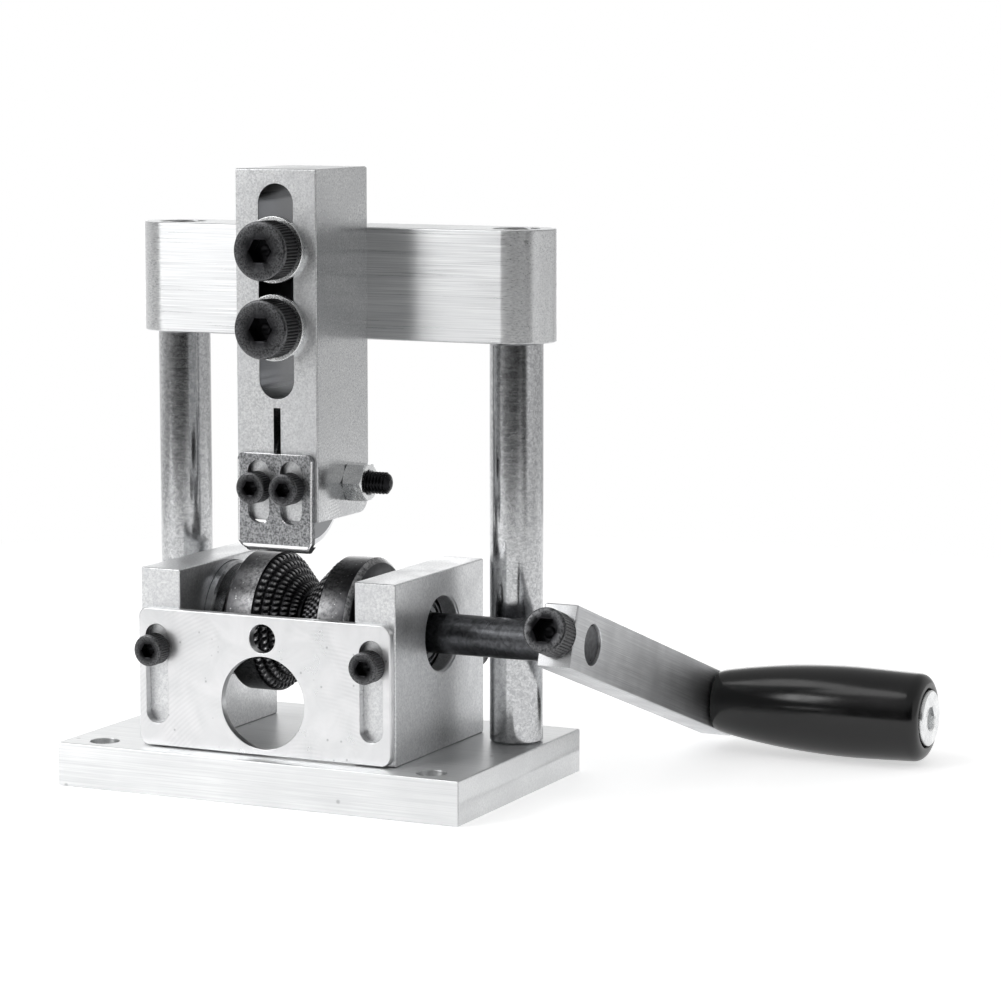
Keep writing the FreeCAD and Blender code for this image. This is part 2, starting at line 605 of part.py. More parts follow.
def make_bearings():
    middles = [{"x": f"{side} * {BEARING_MIDDLE}", "y": SHAFT_Y, "z": "shaft_height"} for side in SIDES]
    outer = make_race("outer_race", "bearing_radius", "(bearing_radius - race_thickness)", True)
    group("bearing_outer_races", outer, middles)
    inner = make_race("inner_race", "(shaft_radius + race_thickness)", BORE_RADIUS, False)
    group("bearing_inner_races", inner, middles)
    shield = tube("shield", "bearing_radius - race_thickness - run_clearance",
                  "shaft_radius + race_thickness + slide_clearance", "shield_thickness")
    shield_places = []
    for side in SIDES:
        for end in SIDES:
            middle = f"{end} * (bearing_width / 2 - shield_inset - shield_thickness / 2)"
            start = f"{side} * {BEARING_MIDDLE} + {middle} - shield_thickness / 2"
            shield_places.append({"x": start, "y": SHAFT_Y, "z": "shaft_height", "axis": Y_AXIS, "angle": "90"})
    group("bearing_shields", shield, shield_places)
    ball = doc.addObject("Part::Sphere", "ball")
    bind(ball, Radius="ball_radius")
    ball_places = []
    for side in SIDES:
        for number in range(round(value("ball_count"))):
            angle = f"(360 * {number} / ball_count)"
            ball_places.append({"x": f"{side} * {BEARING_MIDDLE}",
                                "y": f"{SHAFT_Y} + {PITCH_RADIUS} * cos({angle})",
                                "z": f"shaft_height + {PITCH_RADIUS} * sin({angle})"})
    group("bearing_balls", ball, ball_places)


# Cutter arm with its blade and guard

def make_cutter_arm():
    body = new_body("cutter_arm")
    outline = new_sketch(body, "arm_outline", "XY_Plane", "arm_height")
    draw_rectangle(outline, "-arm_width / 2", ARM_FRONT, "arm_width / 2", BEAM_FRONT)
    pad(body, outline, "arm_length")
    box = body.Shape.BoundBox
    dress(body, "PartDesign::Fillet", "Radius", "arm_heel_radius",
          lambda edge: runs_along(edge, X_AXIS) and near(edge.BoundBox.YMin, box.YMax)
          and near(edge.BoundBox.ZMin, box.ZMin))
    on_corner = corner_edges(box)
    dress(body, "PartDesign::Chamfer", "Size", "edge_chamfer",
          lambda edge: on_corner(edge) and (near(edge.BoundBox.ZMin, box.ZMax)
                                            or runs_along(edge, Z_AXIS) and near(edge.BoundBox.YMax, box.YMin)))
    slot = new_sketch(body, "arm_slot", "XZ_Plane", f"-{ARM_FRONT}")
    low = "arm_height + arm_slot_rise + arm_slot_width / 2"
    high = "arm_height + arm_slot_rise + arm_slot_length - arm_slot_width / 2"
    draw_obround(slot, ("0", low), ("0", high), "arm_slot_width / 2")
    pocket(body, slot)
    slit = new_sketch(body, "blade_slit", "XZ_Plane", f"-{ARM_FRONT}")
    draw_rectangle(slit, "-slit_width / 2", "arm_height", "slit_width / 2", "arm_height + slit_length")
    pocket(body, slit)
    bolt_hole = new_sketch(body, "blade_bolt_hole", "YZ_Plane", "arm_width / 2")
    draw_circle(bolt_hole, "blade_y", BLADE_HEIGHT, "bolt_radius + run_clearance")
    pocket(body, bolt_hole)
    tapped = new_sketch(body, "guard_screw_holes", "XZ_Plane", f"-{ARM_FRONT}")
    for side in SIDES:
        draw_circle(tapped, f"{side} * guard_slot_spacing / 2", "arm_height + guard_screw_rise",
                    "small_screw_radius + run_clearance")
    pocket(body, tapped, "guard_screw_reach + hole_spare / 2")
    return node(body, "cutter_arm")


def make_arm_clamps():
    screw = cap_screw("clamp_screw", "clamp_radius", "washer_thickness + arm_depth + clamp_reach",
                      "clamp_head_radius", "clamp_head_height", "clamp_key")
    washer = tube("clamp_washer", "washer_radius", "clamp_radius + slide_clearance", "washer_thickness")
    heights = [f"{BEAM_MIDDLE} + {side} * clamp_spacing / 2" for side in SIDES]
    group("arm_clamp_screws", screw,
          [{"y": f"{ARM_FRONT} - washer_thickness", "z": height, **FACING_FRONT} for height in heights])
    group("arm_clamp_washers", washer, [{"y": ARM_FRONT, "z": height, **FACING_FRONT} for height in heights])


def make_blade():
    body = new_body("cutting_blade")
    profile = new_sketch(body, "blade_profile", "XZ_Plane")
    half, land, bore = "blade_thickness / 2", "blade_edge / 2", "bush_radius + run_clearance"
    draw_polygon(profile, [(f"-{half}", bore), (half, bore), (half, "blade_radius - blade_bevel"),
                           (land, "blade_radius"), (f"-{land}", "blade_radius"),
                           (f"-{half}", "blade_radius - blade_bevel")])
    revolve(body, profile, "H_Axis")
    put(body, y="blade_y", z=BLADE_HEIGHT)
    return node(body, "cutting_blade")


def make_blade_pivot():
    width = "slit_width - 2 * bush_side_clearance"
    bush = tube("bush", "bush_radius", "bolt_radius + run_clearance", width)
    group("blade_bush", bush,
          [{"x": f"-({width}) / 2", "y": "blade_y", "z": BLADE_HEIGHT, "axis": Y_AXIS, "angle": "90"}])
    bolt = cap_screw("bolt", "bolt_radius", "bolt_length", "bolt_head_radius", "bolt_head_height", "bolt_key")
    group("blade_bolt", bolt,
          [{"x": "-arm_width / 2", "y": "blade_y", "z": BLADE_HEIGHT, "axis": Y_AXIS, "angle": "-90"}])
    hexagon = doc.addObject("Part::Prism", "nut_blank")
    hexagon.Polygon = 6
    bind(hexagon, Circumradius="nut_width / 2 / cos(30 deg)", Height="nut_height")
    put(hexagon, axis=Z_AXIS, angle="30")
    thread = doc.addObject("Part::Cylinder", "nut_thread")
    bind(thread, Radius="bolt_radius + run_clearance", Height="nut_height")
    nut = doc.addObject("Part::Cut", "nut")
    nut.Base = hexagon
    nut.Tool = thread
    group("blade_nut", nut,
          [{"x": "arm_width / 2", "y": "blade_y", "z": BLADE_HEIGHT, "axis": Y_AXIS, "angle": "90"}])


def make_depth_guard():
    body = new_body("depth_guard")
    section = new_sketch(body, "guard_section", "YZ_Plane", "-guard_width / 2")
    foot_top = f"{GUARD_FOOT} + guard_thickness"
    draw_polygon(section, [(GUARD_FRONT, GUARD_FOOT), (f"{GUARD_FRONT} + guard_foot", GUARD_FOOT),
                           (f"{GUARD_FRONT} + guard_foot", foot_top), (ARM_FRONT, foot_top),
                           (ARM_FRONT, f"{GUARD_FOOT} + guard_height"),
                           (GUARD_FRONT, f"{GUARD_FOOT} + guard_height")])
    pad(body, section, "guard_width")
    box = body.Shape.BoundBox
    dress(body, "PartDesign::Fillet", "Radius", "guard_bend",
          lambda edge: runs_along(edge, X_AXIS) and near(edge.BoundBox.YMin, box.YMin)
          and near(edge.BoundBox.ZMin, box.ZMin))
    inner_height = value(foot_top)
    inner_depth = value(ARM_FRONT)
    dress(body, "PartDesign::Fillet", "Radius", "guard_bend - guard_thickness",
          lambda edge: runs_along(edge, X_AXIS) and near(edge.BoundBox.YMin, inner_depth)
          and near(edge.BoundBox.ZMin, inner_height))
    dress(body, "PartDesign::Fillet", "Radius", "guard_corner",
          lambda edge: runs_along(edge, Y_AXIS) and near(edge.BoundBox.ZMin, box.ZMax))
    slots = new_sketch(body, "guard_slots", "XZ_Plane", f"-{GUARD_FRONT}")
    low = f"{GUARD_FOOT} + guard_slot_rise + guard_slot_width / 2"
    high = f"{GUARD_FOOT} + guard_slot_rise + guard_slot_length - guard_slot_width / 2"
    for side in SIDES:
        x = f"{side} * guard_slot_spacing / 2"
        draw_obround(slots, (x, low), (x, high), "guard_slot_width / 2")
    pocket(body, slots)
    corners = new_sketch(body, "guard_cut_corners", "XZ_Plane", f"-{GUARD_FRONT}")
    for side in SIDES:
        edge = f"{side} * guard_width / 2"
        draw_polygon(corners, [(edge, f"{GUARD_FOOT} + guard_bend"),
                               (f"{side} * (guard_width / 2 - guard_taper)", GUARD_FOOT), (edge, GUARD_FOOT)])
    pocket(body, corners)
    return node(body, "depth_guard")


# Wire guide plate

def make_guide_plate():
    body = new_body("guide_plate")
    outline = new_sketch(body, "plate_outline", "XZ_Plane", f"-{BLOCK_FRONT}")
    side_x = f"({BLOCK_OUTER} - plate_side)"
    draw_rectangle(outline, f"-{side_x}", PLATE_FOOT, side_x, f"{PLATE_FOOT} + plate_height")
    pad(body, outline, "plate_thickness")
    dress(body, "PartDesign::Fillet", "Radius", "plate_corner", lambda edge: runs_along(edge, Y_AXIS))
    box = body.Shape.BoundBox
    dress(body, "PartDesign::Chamfer", "Size", "edge_chamfer",
          lambda edge: near(edge.BoundBox.YMax, box.YMin))
    holes = new_sketch(body, "wire_holes", "XZ_Plane", f"-{BLOCK_FRONT}")
    draw_circle(holes, "0", f"{PLATE_FOOT} + large_hole_rise", "large_hole_radius")
    draw_circle(holes, "0", f"{PLATE_FOOT} + small_hole_rise", "small_hole_radius")
    low = f"{PLATE_FOOT} + plate_slot_rise + plate_slot_width / 2"
    high = f"{PLATE_FOOT} + plate_slot_rise + plate_slot_length - plate_slot_width / 2"
    for side in SIDES:
        x = f"{side} * {BLOCK_X}"
        draw_obround(holes, (x, low), (x, high), "plate_slot_width / 2")
    pocket(body, holes, reverse=True)
    return node(body, "guide_plate")


def make_small_screws():
    plate_screw = cap_screw("plate_screw", "small_screw_radius", "plate_thickness + plate_screw_reach",
                            "small_head_radius", "small_head_height", "small_key")
    group("guide_plate_screws", plate_screw,
          [{"x": f"{side} * {BLOCK_X}", "y": PLATE_FRONT, "z": "plate_screw_height", **FACING_FRONT}
           for side in SIDES])
    guard_screw = cap_screw("guard_screw", "small_screw_radius", "guard_thickness + guard_screw_reach",
                            "small_head_radius", "small_head_height", "small_key")
    group("guard_screws", guard_screw,
          [{"x": f"{side} * guard_slot_spacing / 2", "y": GUARD_FRONT, "z": "arm_height + guard_screw_rise",
            **FACING_FRONT} for side in SIDES])


# Drive shaft with its wheels

def make_drive_shaft():
    body = new_body("drive_shaft")
    profile = new_sketch(body, "shaft_profile", "XZ_Plane")
    left = f"(shaft_setback - {BLOCK_OUTER})"
    right = f"({CRANK_X} + crank_thickness - shaft_recess)"
    draw_polygon(profile, [(left, "0"), (right, "0"), (right, "shaft_radius - shaft_chamfer"),
                           (f"{right} - shaft_chamfer", "shaft_radius"),
                           (f"{left} + shaft_chamfer", "shaft_radius"), (left, "shaft_radius - shaft_chamfer")])
    revolve(body, profile, "H_Axis")
    put(body, y=SHAFT_Y, z="shaft_height")
    return node(body, "drive_shaft")


def make_feed_wheel(side, label):
    body = new_body(label)
    profile = new_sketch(body, f"{label}_profile", "XZ_Plane")
    inner = "wheel_gap / 2"
    outline = [(inner, BORE_RADIUS), (inner, "groove_radius"), (f"{inner} + cone_width", "wheel_radius"),
               (f"{WHEEL_OUTER} - wheel_chamfer", "wheel_radius"),
               (WHEEL_OUTER, "wheel_radius - wheel_chamfer"), (WHEEL_OUTER, BORE_RADIUS)]
    draw_polygon(profile, [(f"{side} * ({x})", radius) for x, radius in outline])
    revolve(body, profile, "H_Axis")
    screw_hole = new_sketch(body, f"{label}_screw_hole", "XZ_Plane")
    x = f"{side} * ({WHEEL_OUTER} - set_screw_inset)"
    draw_circle(screw_hole, x, "0", "set_screw_radius + run_clearance")
    pocket(body, screw_hole, "wheel_radius + hole_spare")
    put(body, y=SHAFT_Y, z="shaft_height")
    return node(body, label)


def make_wheel_fittings():
    blank = doc.addObject("Part::Cylinder", "set_screw_blank")
    bind(blank, Radius="set_screw_radius", Height="set_screw_length")
    socket = doc.addObject("Part::Prism", "set_screw_socket")
    socket.Polygon = 6
    bind(socket, Circumradius="set_screw_key / 2 / cos(30 deg)", Height="set_screw_length")
    put(socket, z="set_screw_length * (1 - socket_depth_share)")
    set_screw = doc.addObject("Part::Cut", "set_screw")
    set_screw.Base = blank
    set_screw.Tool = socket
    group("wheel_set_screws", set_screw,
          [{"x": f"{side} * ({WHEEL_OUTER} - set_screw_inset)", "y": f"{SHAFT_Y} + {BORE_RADIUS}",
            "z": "shaft_height", **FACING_REAR} for side in SIDES])
    spacer = tube("spacer", "spacer_radius", BORE_RADIUS, "spacer_width")
    group("wheel_spacers", spacer,
          [{"x": f"{start}", "y": SHAFT_Y, "z": "shaft_height", "axis": Y_AXIS, "angle": "90"}
           for start in (WHEEL_OUTER, f"-{BEARING_INNER}")])


# Crank and handle

def make_crank_bar():
    body = new_body("crank_bar")
    outline = new_sketch(body, "crank_outline", "YZ_Plane")
    draw_rectangle(outline, "-crank_hub", "-crank_width / 2", "crank_length + crank_tip", "crank_width / 2")
    pad(body, outline, "crank_thickness")
    dress(body, "PartDesign::Chamfer", "Size", "edge_chamfer", corner_edges(body.Shape.BoundBox))
    shaft_hole = new_sketch(body, "crank_shaft_hole", "YZ_Plane")
    draw_circle(shaft_hole, "0", "0", BORE_RADIUS)
    pocket(body, shaft_hole, reverse=True)
    stud_hole = new_sketch(body, "crank_stud_hole", "YZ_Plane")
    draw_circle(stud_hole, "crank_length", "0", "stud_radius + run_clearance")
    pocket(body, stud_hole, reverse=True)
    screw_hole = new_sketch(body, "crank_screw_hole", "XZ_Plane", "crank_hub")
    draw_circle(screw_hole, "crank_thickness / 2", "0", "tie_screw_radius + run_clearance")
    pocket(body, screw_hole, "crank_hub")
    put(body, x=CRANK_X, y=SHAFT_Y, z="shaft_height", axis=X_AXIS, angle=f"-{CRANK_DROP} / 1 deg")
    return node(body, "crank_bar")


def make_crank_screw():
    reach = f"crank_hub + crank_screw_standoff - {BORE_RADIUS}"
    screw = cap_screw("crank_screw", "tie_screw_radius", reach,
                      "tie_head_radius", "tie_head_height", "tie_key")
    out = "(crank_hub + crank_screw_standoff)"
    group("crank_clamp_screw", screw,
          [{"x": f"{CRANK_X} + crank_thickness / 2", "y": f"{SHAFT_Y} - {out} * cos({CRANK_DROP})",
            "z": f"shaft_height + {out} * sin({CRANK_DROP})", "axis": X_AXIS,
            "angle": f"90 - {CRANK_DROP} / 1 deg"}])


def make_handle():
    neck = "(crank_thickness + grip_side_clearance)"
    end = f"({neck} + grip_length)"
    seat = f"({end} + spindle_head_proud - spindle_head_height)"
    spindle = new_body("handle_spindle")
    profile = new_sketch(spindle, "spindle_profile", "XZ_Plane")
    draw_polygon(profile, [
        ("-stud_proud", "0"), (f"{seat} + spindle_head_height", "0"),
        (f"{seat} + spindle_head_height", "spindle_head_radius - head_chamfer"),
        (f"{seat} + spindle_head_height - head_chamfer", "spindle_head_radius"), (seat, "spindle_head_radius"),
        (seat, "spindle_radius"), ("crank_thickness", "spindle_radius"), ("crank_thickness", "stud_radius"),
        ("head_chamfer - stud_proud", "stud_radius"), ("-stud_proud", "stud_radius - head_chamfer")])
    revolve(spindle, profile, "H_Axis")
    socket = doc.addObject("Part::Prism", "spindle_socket")
    socket.Polygon = 6
    bind(socket, Circumradius="spindle_key / 2 / cos(30 deg)", Height="spindle_head_height")
    put(socket, x=f"{seat} + spindle_head_height * (1 - socket_depth_share)", axis=Y_AXIS, angle="90")
    keyed = doc.addObject("Part::Cut", "spindle_keyed")
    keyed.Base = spindle
    keyed.Tool = socket
    node(put(keyed, x=CRANK_X, y=HANDLE_Y, z=HANDLE_HEIGHT), "handle_spindle")

    grip = new_body("handle_grip")
    outline = new_sketch(grip, "grip_profile", "XZ_Plane")
    bore = "(spindle_radius + 2 * run_clearance)"
    recess = "(spindle_head_radius + counterbore_clearance)"
    floor = f"({seat} - slide_clearance)"
    draw_polygon(outline, [(neck, "grip_neck_radius"), (neck, bore), (floor, bore), (floor, recess),
                           (end, recess), (end, "grip_end_radius"), (f"{neck} + grip_widest", "grip_radius")],
                 bowed=True)
    revolve(grip, outline, "H_Axis")
    box = grip.Shape.BoundBox
    dress(grip, "PartDesign::Fillet", "Radius", "grip_rounding",
          lambda edge: near(edge.BoundBox.XMin, box.XMax) and near(edge.BoundBox.XMax, box.XMax)
          and near(edge.BoundBox.ZMax, value("grip_end_radius")))
    put(grip, x=CRANK_X, y=HANDLE_Y, z=HANDLE_HEIGHT)
    node(grip, "handle_grip")


make_base_plate()
for hand, word in zip(SIDES, ("left", "right")):
    make_column(hand, f"{word}_column")
    make_bearing_block(hand, f"{word}_bearing_block")
    make_feed_wheel(hand, f"{word}_feed_wheel")
make_top_beam()
make_tie_screws()
make_block_screws()
make_bearings()
make_cutter_arm()
make_arm_clamps()
make_blade()
make_blade_pivot()
make_depth_guard()
make_guide_plate()
make_small_screws()
make_drive_shaft()
make_wheel_fittings()
make_crank_bar()
make_crank_screw()
make_handle()
doc.recompute()

for thing in doc.Objects:
    if {"Invalid", "Error"} & set(thing.State):
        raise ValueError(f"{thing.Name} failed: {thing.State}")
for part in NODES:
    if part.Shape.isNull() or not part.Shape.isValid():
        raise ValueError(f"{part.Label} has no valid shape")

os.makedirs("parts", exist_ok=True)
for part in NODES:
    part.Shape.exportStep(f"parts/{part.Label}.step")
print(f"{len(NODES)} sub-parts written, handle axis at y {value(HANDLE_Y):.4f}, z {value(HANDLE_HEIGHT):.4f}")
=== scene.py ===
import bmesh
import bpy
import json
import math
from mathutils import Matrix, Vector


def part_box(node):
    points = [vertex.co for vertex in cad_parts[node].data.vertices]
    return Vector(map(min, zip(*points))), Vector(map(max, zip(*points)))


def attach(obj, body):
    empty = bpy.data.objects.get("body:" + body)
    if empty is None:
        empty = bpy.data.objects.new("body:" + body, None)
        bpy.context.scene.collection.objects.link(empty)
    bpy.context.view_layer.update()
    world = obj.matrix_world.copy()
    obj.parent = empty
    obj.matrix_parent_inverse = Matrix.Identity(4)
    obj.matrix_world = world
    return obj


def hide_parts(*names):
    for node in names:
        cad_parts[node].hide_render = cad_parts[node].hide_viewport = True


# Hand crank wire stripper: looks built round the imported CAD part. Lengths in dictionaries are millimetres.

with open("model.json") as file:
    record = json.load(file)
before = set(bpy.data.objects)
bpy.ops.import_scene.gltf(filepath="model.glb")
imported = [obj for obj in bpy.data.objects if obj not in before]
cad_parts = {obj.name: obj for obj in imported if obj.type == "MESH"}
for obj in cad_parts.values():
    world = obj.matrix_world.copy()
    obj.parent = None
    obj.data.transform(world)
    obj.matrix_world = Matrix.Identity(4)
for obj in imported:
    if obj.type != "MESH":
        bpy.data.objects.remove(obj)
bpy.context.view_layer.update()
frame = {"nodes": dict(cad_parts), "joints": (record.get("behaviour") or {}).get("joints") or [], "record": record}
nodes = frame["nodes"]
bodyOf = {node: body for body, members in frame["record"]["behaviour"]["bodies"].items() for node in members}
slotOf = {part["node"]: part["material_slot"] for part in frame["record"]["subparts"]}
joints = {joint["name"]: joint for joint in frame["joints"]}
mm = 0.001
fullTurn = 2 * math.pi
shaftAxis = Vector(joints["crank_turn"]["pos_m"])
gripAxis = Vector(joints["grip_spin"]["pos_m"])
bladeAxis = Vector(joints["blade_spin"]["pos_m"])
crankLine = Vector((0, gripAxis.y - shaftAxis.y, gripAxis.z - shaftAxis.z)).normalized()
crankAngle = math.atan2(crankLine.z, crankLine.y)  # the bar's lean about X, negative at rest
alongX = (0, 0, 0)  # grain directions, as turns about X, Y and Z
alongCrank = (crankAngle, 0, 0)
print("frame loaded, crank leans", round(math.degrees(crankAngle), 2), "degrees")


# Nodes and colours

def toLinear(hexColour):
    channels = [int(hexColour[k:k + 2], 16) / 255 for k in (1, 3, 5)]
    linear = [c / 12.92 if c <= 0.04045 else ((c + 0.055) / 1.055) ** 2.4 for c in channels]
    return (*linear, 1)


def addNode(tree, kind, links=None, **settings):
    # links feed sockets, in order from a list or by name: each a socket, a node, a hex colour or a value
    node = tree.nodes.new("ShaderNode" + kind)
    for name, value in settings.items():
        setattr(node, name, value)
    feeds = enumerate(links) if isinstance(links, list) else (links or {}).items()
    for name, value in feeds:
        socket = node.inputs[name]
        if isinstance(value, bpy.types.Node):
            value = value.outputs[0]
        if isinstance(value, bpy.types.NodeSocket):
            tree.links.new(value, socket)
        else:
            socket.default_value = toLinear(value) if isinstance(value, str) else value
    return node


def startMaterial(name, **sockets):
    material = bpy.data.materials.new(name)
    material.use_nodes = True
    tree = material.node_tree
    shader = tree.nodes["Principled BSDF"]
    for socket, value in sockets.items():
        shader.inputs[socket.replace("_", " ")].default_value = value
    return material, tree, shader


def finishMaterial(tree, shader, colour, roughness, relief):
    # relief is (pattern, depth in millimetres) pairs, stacked as bumps
    tree.links.new(colour, shader.inputs["Base Color"])
    tree.links.new(roughness.outputs[0], shader.inputs["Roughness"])
    bump = None
    for height, depth in relief:
        links = {"Height": height, "Strength": 1, "Distance": depth * mm}
        if bump is not None:
            links["Normal"] = bump
        bump = addNode(tree, "Bump", links)
    tree.links.new(bump.outputs[0], shader.inputs["Normal"])


def paint(tree, base, coats):
    # each coat is (pattern, low, high, share, colour): it grows to its share as the pattern
    # rises from low to high
    for pattern, low, high, share, colour in coats:
        cover = addNode(tree, "MapRange", [pattern, low, high, 0, share])
        base = addNode(tree, "Mix", {0: cover, 6: base, 7: colour}, data_type="RGBA").outputs[2]
    return base


# Patterns, in the object space of the piece

wide = (0.3, 0.7)  # nearly all of a mottle lies between these
narrow = (0.35, 0.65)  # the same with more contrast
wavePeriod = fullTurn / 20  # the wave texture's own distance from ring to ring
speckEdge = (0.22, 0.10)  # where a speck starts and where it is full, as shares of the spacing


def patternSpace(tree, size, turn=alongX, centre=(0, 0, 0)):
    # divided by the size of one feature, one number or three, and turned with the grain
    coords = addNode(tree, "TexCoord").outputs["Object"]
    scale = [length * mm for length in (size if isinstance(size, tuple) else (size,) * 3)]
    place = {"Vector": coords, "Scale": scale, "Rotation": turn, "Location": centre}
    return addNode(tree, "Mapping", place, vector_type="TEXTURE")


def mottle(tree, size, turn=alongX, detail=3, rough=0.5, warp=0):
    space = patternSpace(tree, size, turn)
    links = {"Vector": space, "Scale": 1, "Detail": detail, "Roughness": rough, "Distortion": warp}
    return addNode(tree, "TexNoise", links).outputs["Fac"]


def arcs(tree, pitch, centre, warp=0.4):
    # cutter marks: rings about a far centre, pitch apart
    space = patternSpace(tree, pitch / wavePeriod, centre=centre)
    links = {"Vector": space, "Scale": 1, "Distortion": warp, "Detail": 2, "Detail Scale": 1.5}
    return addNode(tree, "TexWave", links, wave_type="RINGS", rings_direction="SPHERICAL").outputs["Fac"]


def patchyArcs(tree, rings, patches, span):
    # the marks show only where the patches rise through their span
    shown = addNode(tree, "MapRange", [patches, *span])
    return addNode(tree, "Math", [rings, shown], operation="MULTIPLY")


def specks(tree, spacing, share):
    # small round spots: the middles of a few cells
    cells = addNode(tree, "TexVoronoi", {"Vector": patternSpace(tree, spacing), "Scale": 1})
    spot = addNode(tree, "MapRange", [cells.outputs["Distance"], *speckEdge])
    lot = addNode(tree, "SeparateColor", [cells.outputs["Color"]])
    chosen = addNode(tree, "Math", [lot, share], operation="LESS_THAN")
    return addNode(tree, "Math", [spot, chosen], operation="MULTIPLY")


def facing(tree, axis, start=0.7, end=0.9):
    # 1 on the faces that look along the axis of the piece
    normal = addNode(tree, "TexCoord").outputs["Normal"]
    along = addNode(tree, "SeparateXYZ", [normal]).outputs[axis]
    return addNode(tree, "MapRange", [addNode(tree, "Math", [along], operation="ABSOLUTE"), start, end])


def meshMark(tree, name):
    # a value that the mesh carries from vertex to vertex or face to face
    return addNode(tree, "Attribute", attribute_name=name).outputs["Fac"]


def spreadAcross(tree, shader, grain, strength):
    # fine parallel scratches widen a reflection across them and leave it sharp along them
    normal = addNode(tree, "TexCoord").outputs["Normal"]
    across = addNode(tree, "VectorMath", [normal, grain], operation="CROSS_PRODUCT")
    turned = addNode(tree, "VectorTransform", [across], vector_type="NORMAL", convert_from="OBJECT",
                     convert_to="WORLD")
    tree.links.new(turned.outputs[0], shader.inputs["Tangent"])
    shader.inputs["Anisotropic"].default_value = strength


# Brushed aluminium, extruded and linished: long pale streaks that catch the light, a few dark pits
def brushedAluminium(name, look):
    material, tree, shader = startMaterial(name, Metallic=1)
    streaks = mottle(tree, look["streak"], look["grain"], detail=4, rough=0.65)
    clouds = mottle(tree, look["cloud"], detail=2)
    pits = specks(tree, look["pitSpacing"], look["pitShare"])
    colour = paint(tree, look["dark"], [
        (streaks, *narrow, 1, look["light"]),
        (clouds, *wide, look["cloudShare"], look["shade"]),
        (pits, 0, 1, look["pitDark"], look["pit"])])
    roughness = addNode(tree, "MapRange", [streaks, *wide, *look["roughness"]])
    relief = [(streaks, look["streakDepth"]), (pits, -look["pitDepth"])]
    finishMaterial(tree, shader, colour, roughness, relief)
    spreadAcross(tree, shader, look["direction"], look["anisotropy"])
    return material


# Sawn and blasted aluminium: a fine sparkling grain, faint cutter arcs and handling scratches, with painted shade
# on the walls of the clamp slot.
# The sides that face along X are milled, so they are smoother
def blastedAluminium(name, look):
    material, tree, shader = startMaterial(name, Metallic=1)
    grit = mottle(tree, look["grit"], detail=3, rough=0.7)
    clouds = mottle(tree, look["cloud"], detail=3, warp=0.6)
    patches = mottle(tree, look["cloud"] * look["patchShare"], detail=1)
    marks = patchyArcs(tree, arcs(tree, look["arcPitch"], look["arcCentre"]), patches, look["patchSpan"])
    scratches = mottle(tree, look["scratch"], look["scratchTurn"], detail=2)
    colour = paint(tree, look["dark"], [
        (grit, *narrow, 1, look["light"]),
        (clouds, *wide, look["cloudShare"], look["shade"]),
        (scratches, *look["scratchSpan"], look["scratchShare"], look["bright"]),
        # painted shade: the walls of the clamp slot are coloured darker
        (meshMark(tree, "recess"), 0, 1, 1, look["recess"])])
    milled = facing(tree, "X")
    blasted = addNode(tree, "MapRange", [clouds, *wide, *look["roughness"]])
    smooth = addNode(tree, "MapRange", [clouds, *wide, *look["milledRoughness"]])
    roughness = addNode(tree, "Mix", {0: milled, 2: blasted, 3: smooth})
    gritLeft = addNode(tree, "MapRange", [milled, 0, 1, 1, look["milledGrit"]])
    gritHere = addNode(tree, "Math", [grit, gritLeft], operation="MULTIPLY")
    relief = [(gritHere, look["gritDepth"]), (marks, look["arcDepth"])]
    finishMaterial(tree, shader, colour, roughness, relief)
    return material


# Polished stainless sheet: near mirror, with fly-cut arcs, tiny pits and faint rubbed clouds
def polishedSheet(name, look):
    material, tree, shader = startMaterial(name, Metallic=1)
    rings = arcs(tree, look["arcPitch"], look["arcCentre"], warp=0.8)
    marks = patchyArcs(tree, rings, mottle(tree, look["patch"], detail=2), look["patchSpan"])
    clouds = mottle(tree, look["cloud"], detail=4, warp=0.8)
    pits = specks(tree, look["pitSpacing"], look["pitShare"])
    colour = paint(tree, look["dark"], [
        (clouds, *wide, 1, look["light"]),
        (marks, 0, 1, look["markDark"], look["mark"]),
        (pits, 0, 1, look["pitDark"], look["mark"])])
    roughness = addNode(tree, "MapRange", [clouds, *wide, *look["roughness"]])
    relief = [(marks, look["arcDepth"]), (pits, -look["pitDepth"]), (clouds, look["waveDepth"])]
    finishMaterial(tree, shader, colour, roughness, relief)
    return material


# Ground round steel: fine rings round the rod and a tight reflection along it
def groundSteel(name, look):
    material, tree, shader = startMaterial(name, Metallic=1)
    rings = mottle(tree, look["ring"], detail=3, rough=0.7)
    stains = mottle(tree, look["stain"], detail=4, warp=1)
    colour = paint(tree, look["dark"], [(stains, *narrow, 1, look["light"])])
    roughness = addNode(tree, "MapRange", [rings, *wide, *look["roughness"]])
    relief = [(rings, look["ringDepth"]), (stains, look["stainDepth"])]
    finishMaterial(tree, shader, colour, roughness, relief)
    return material


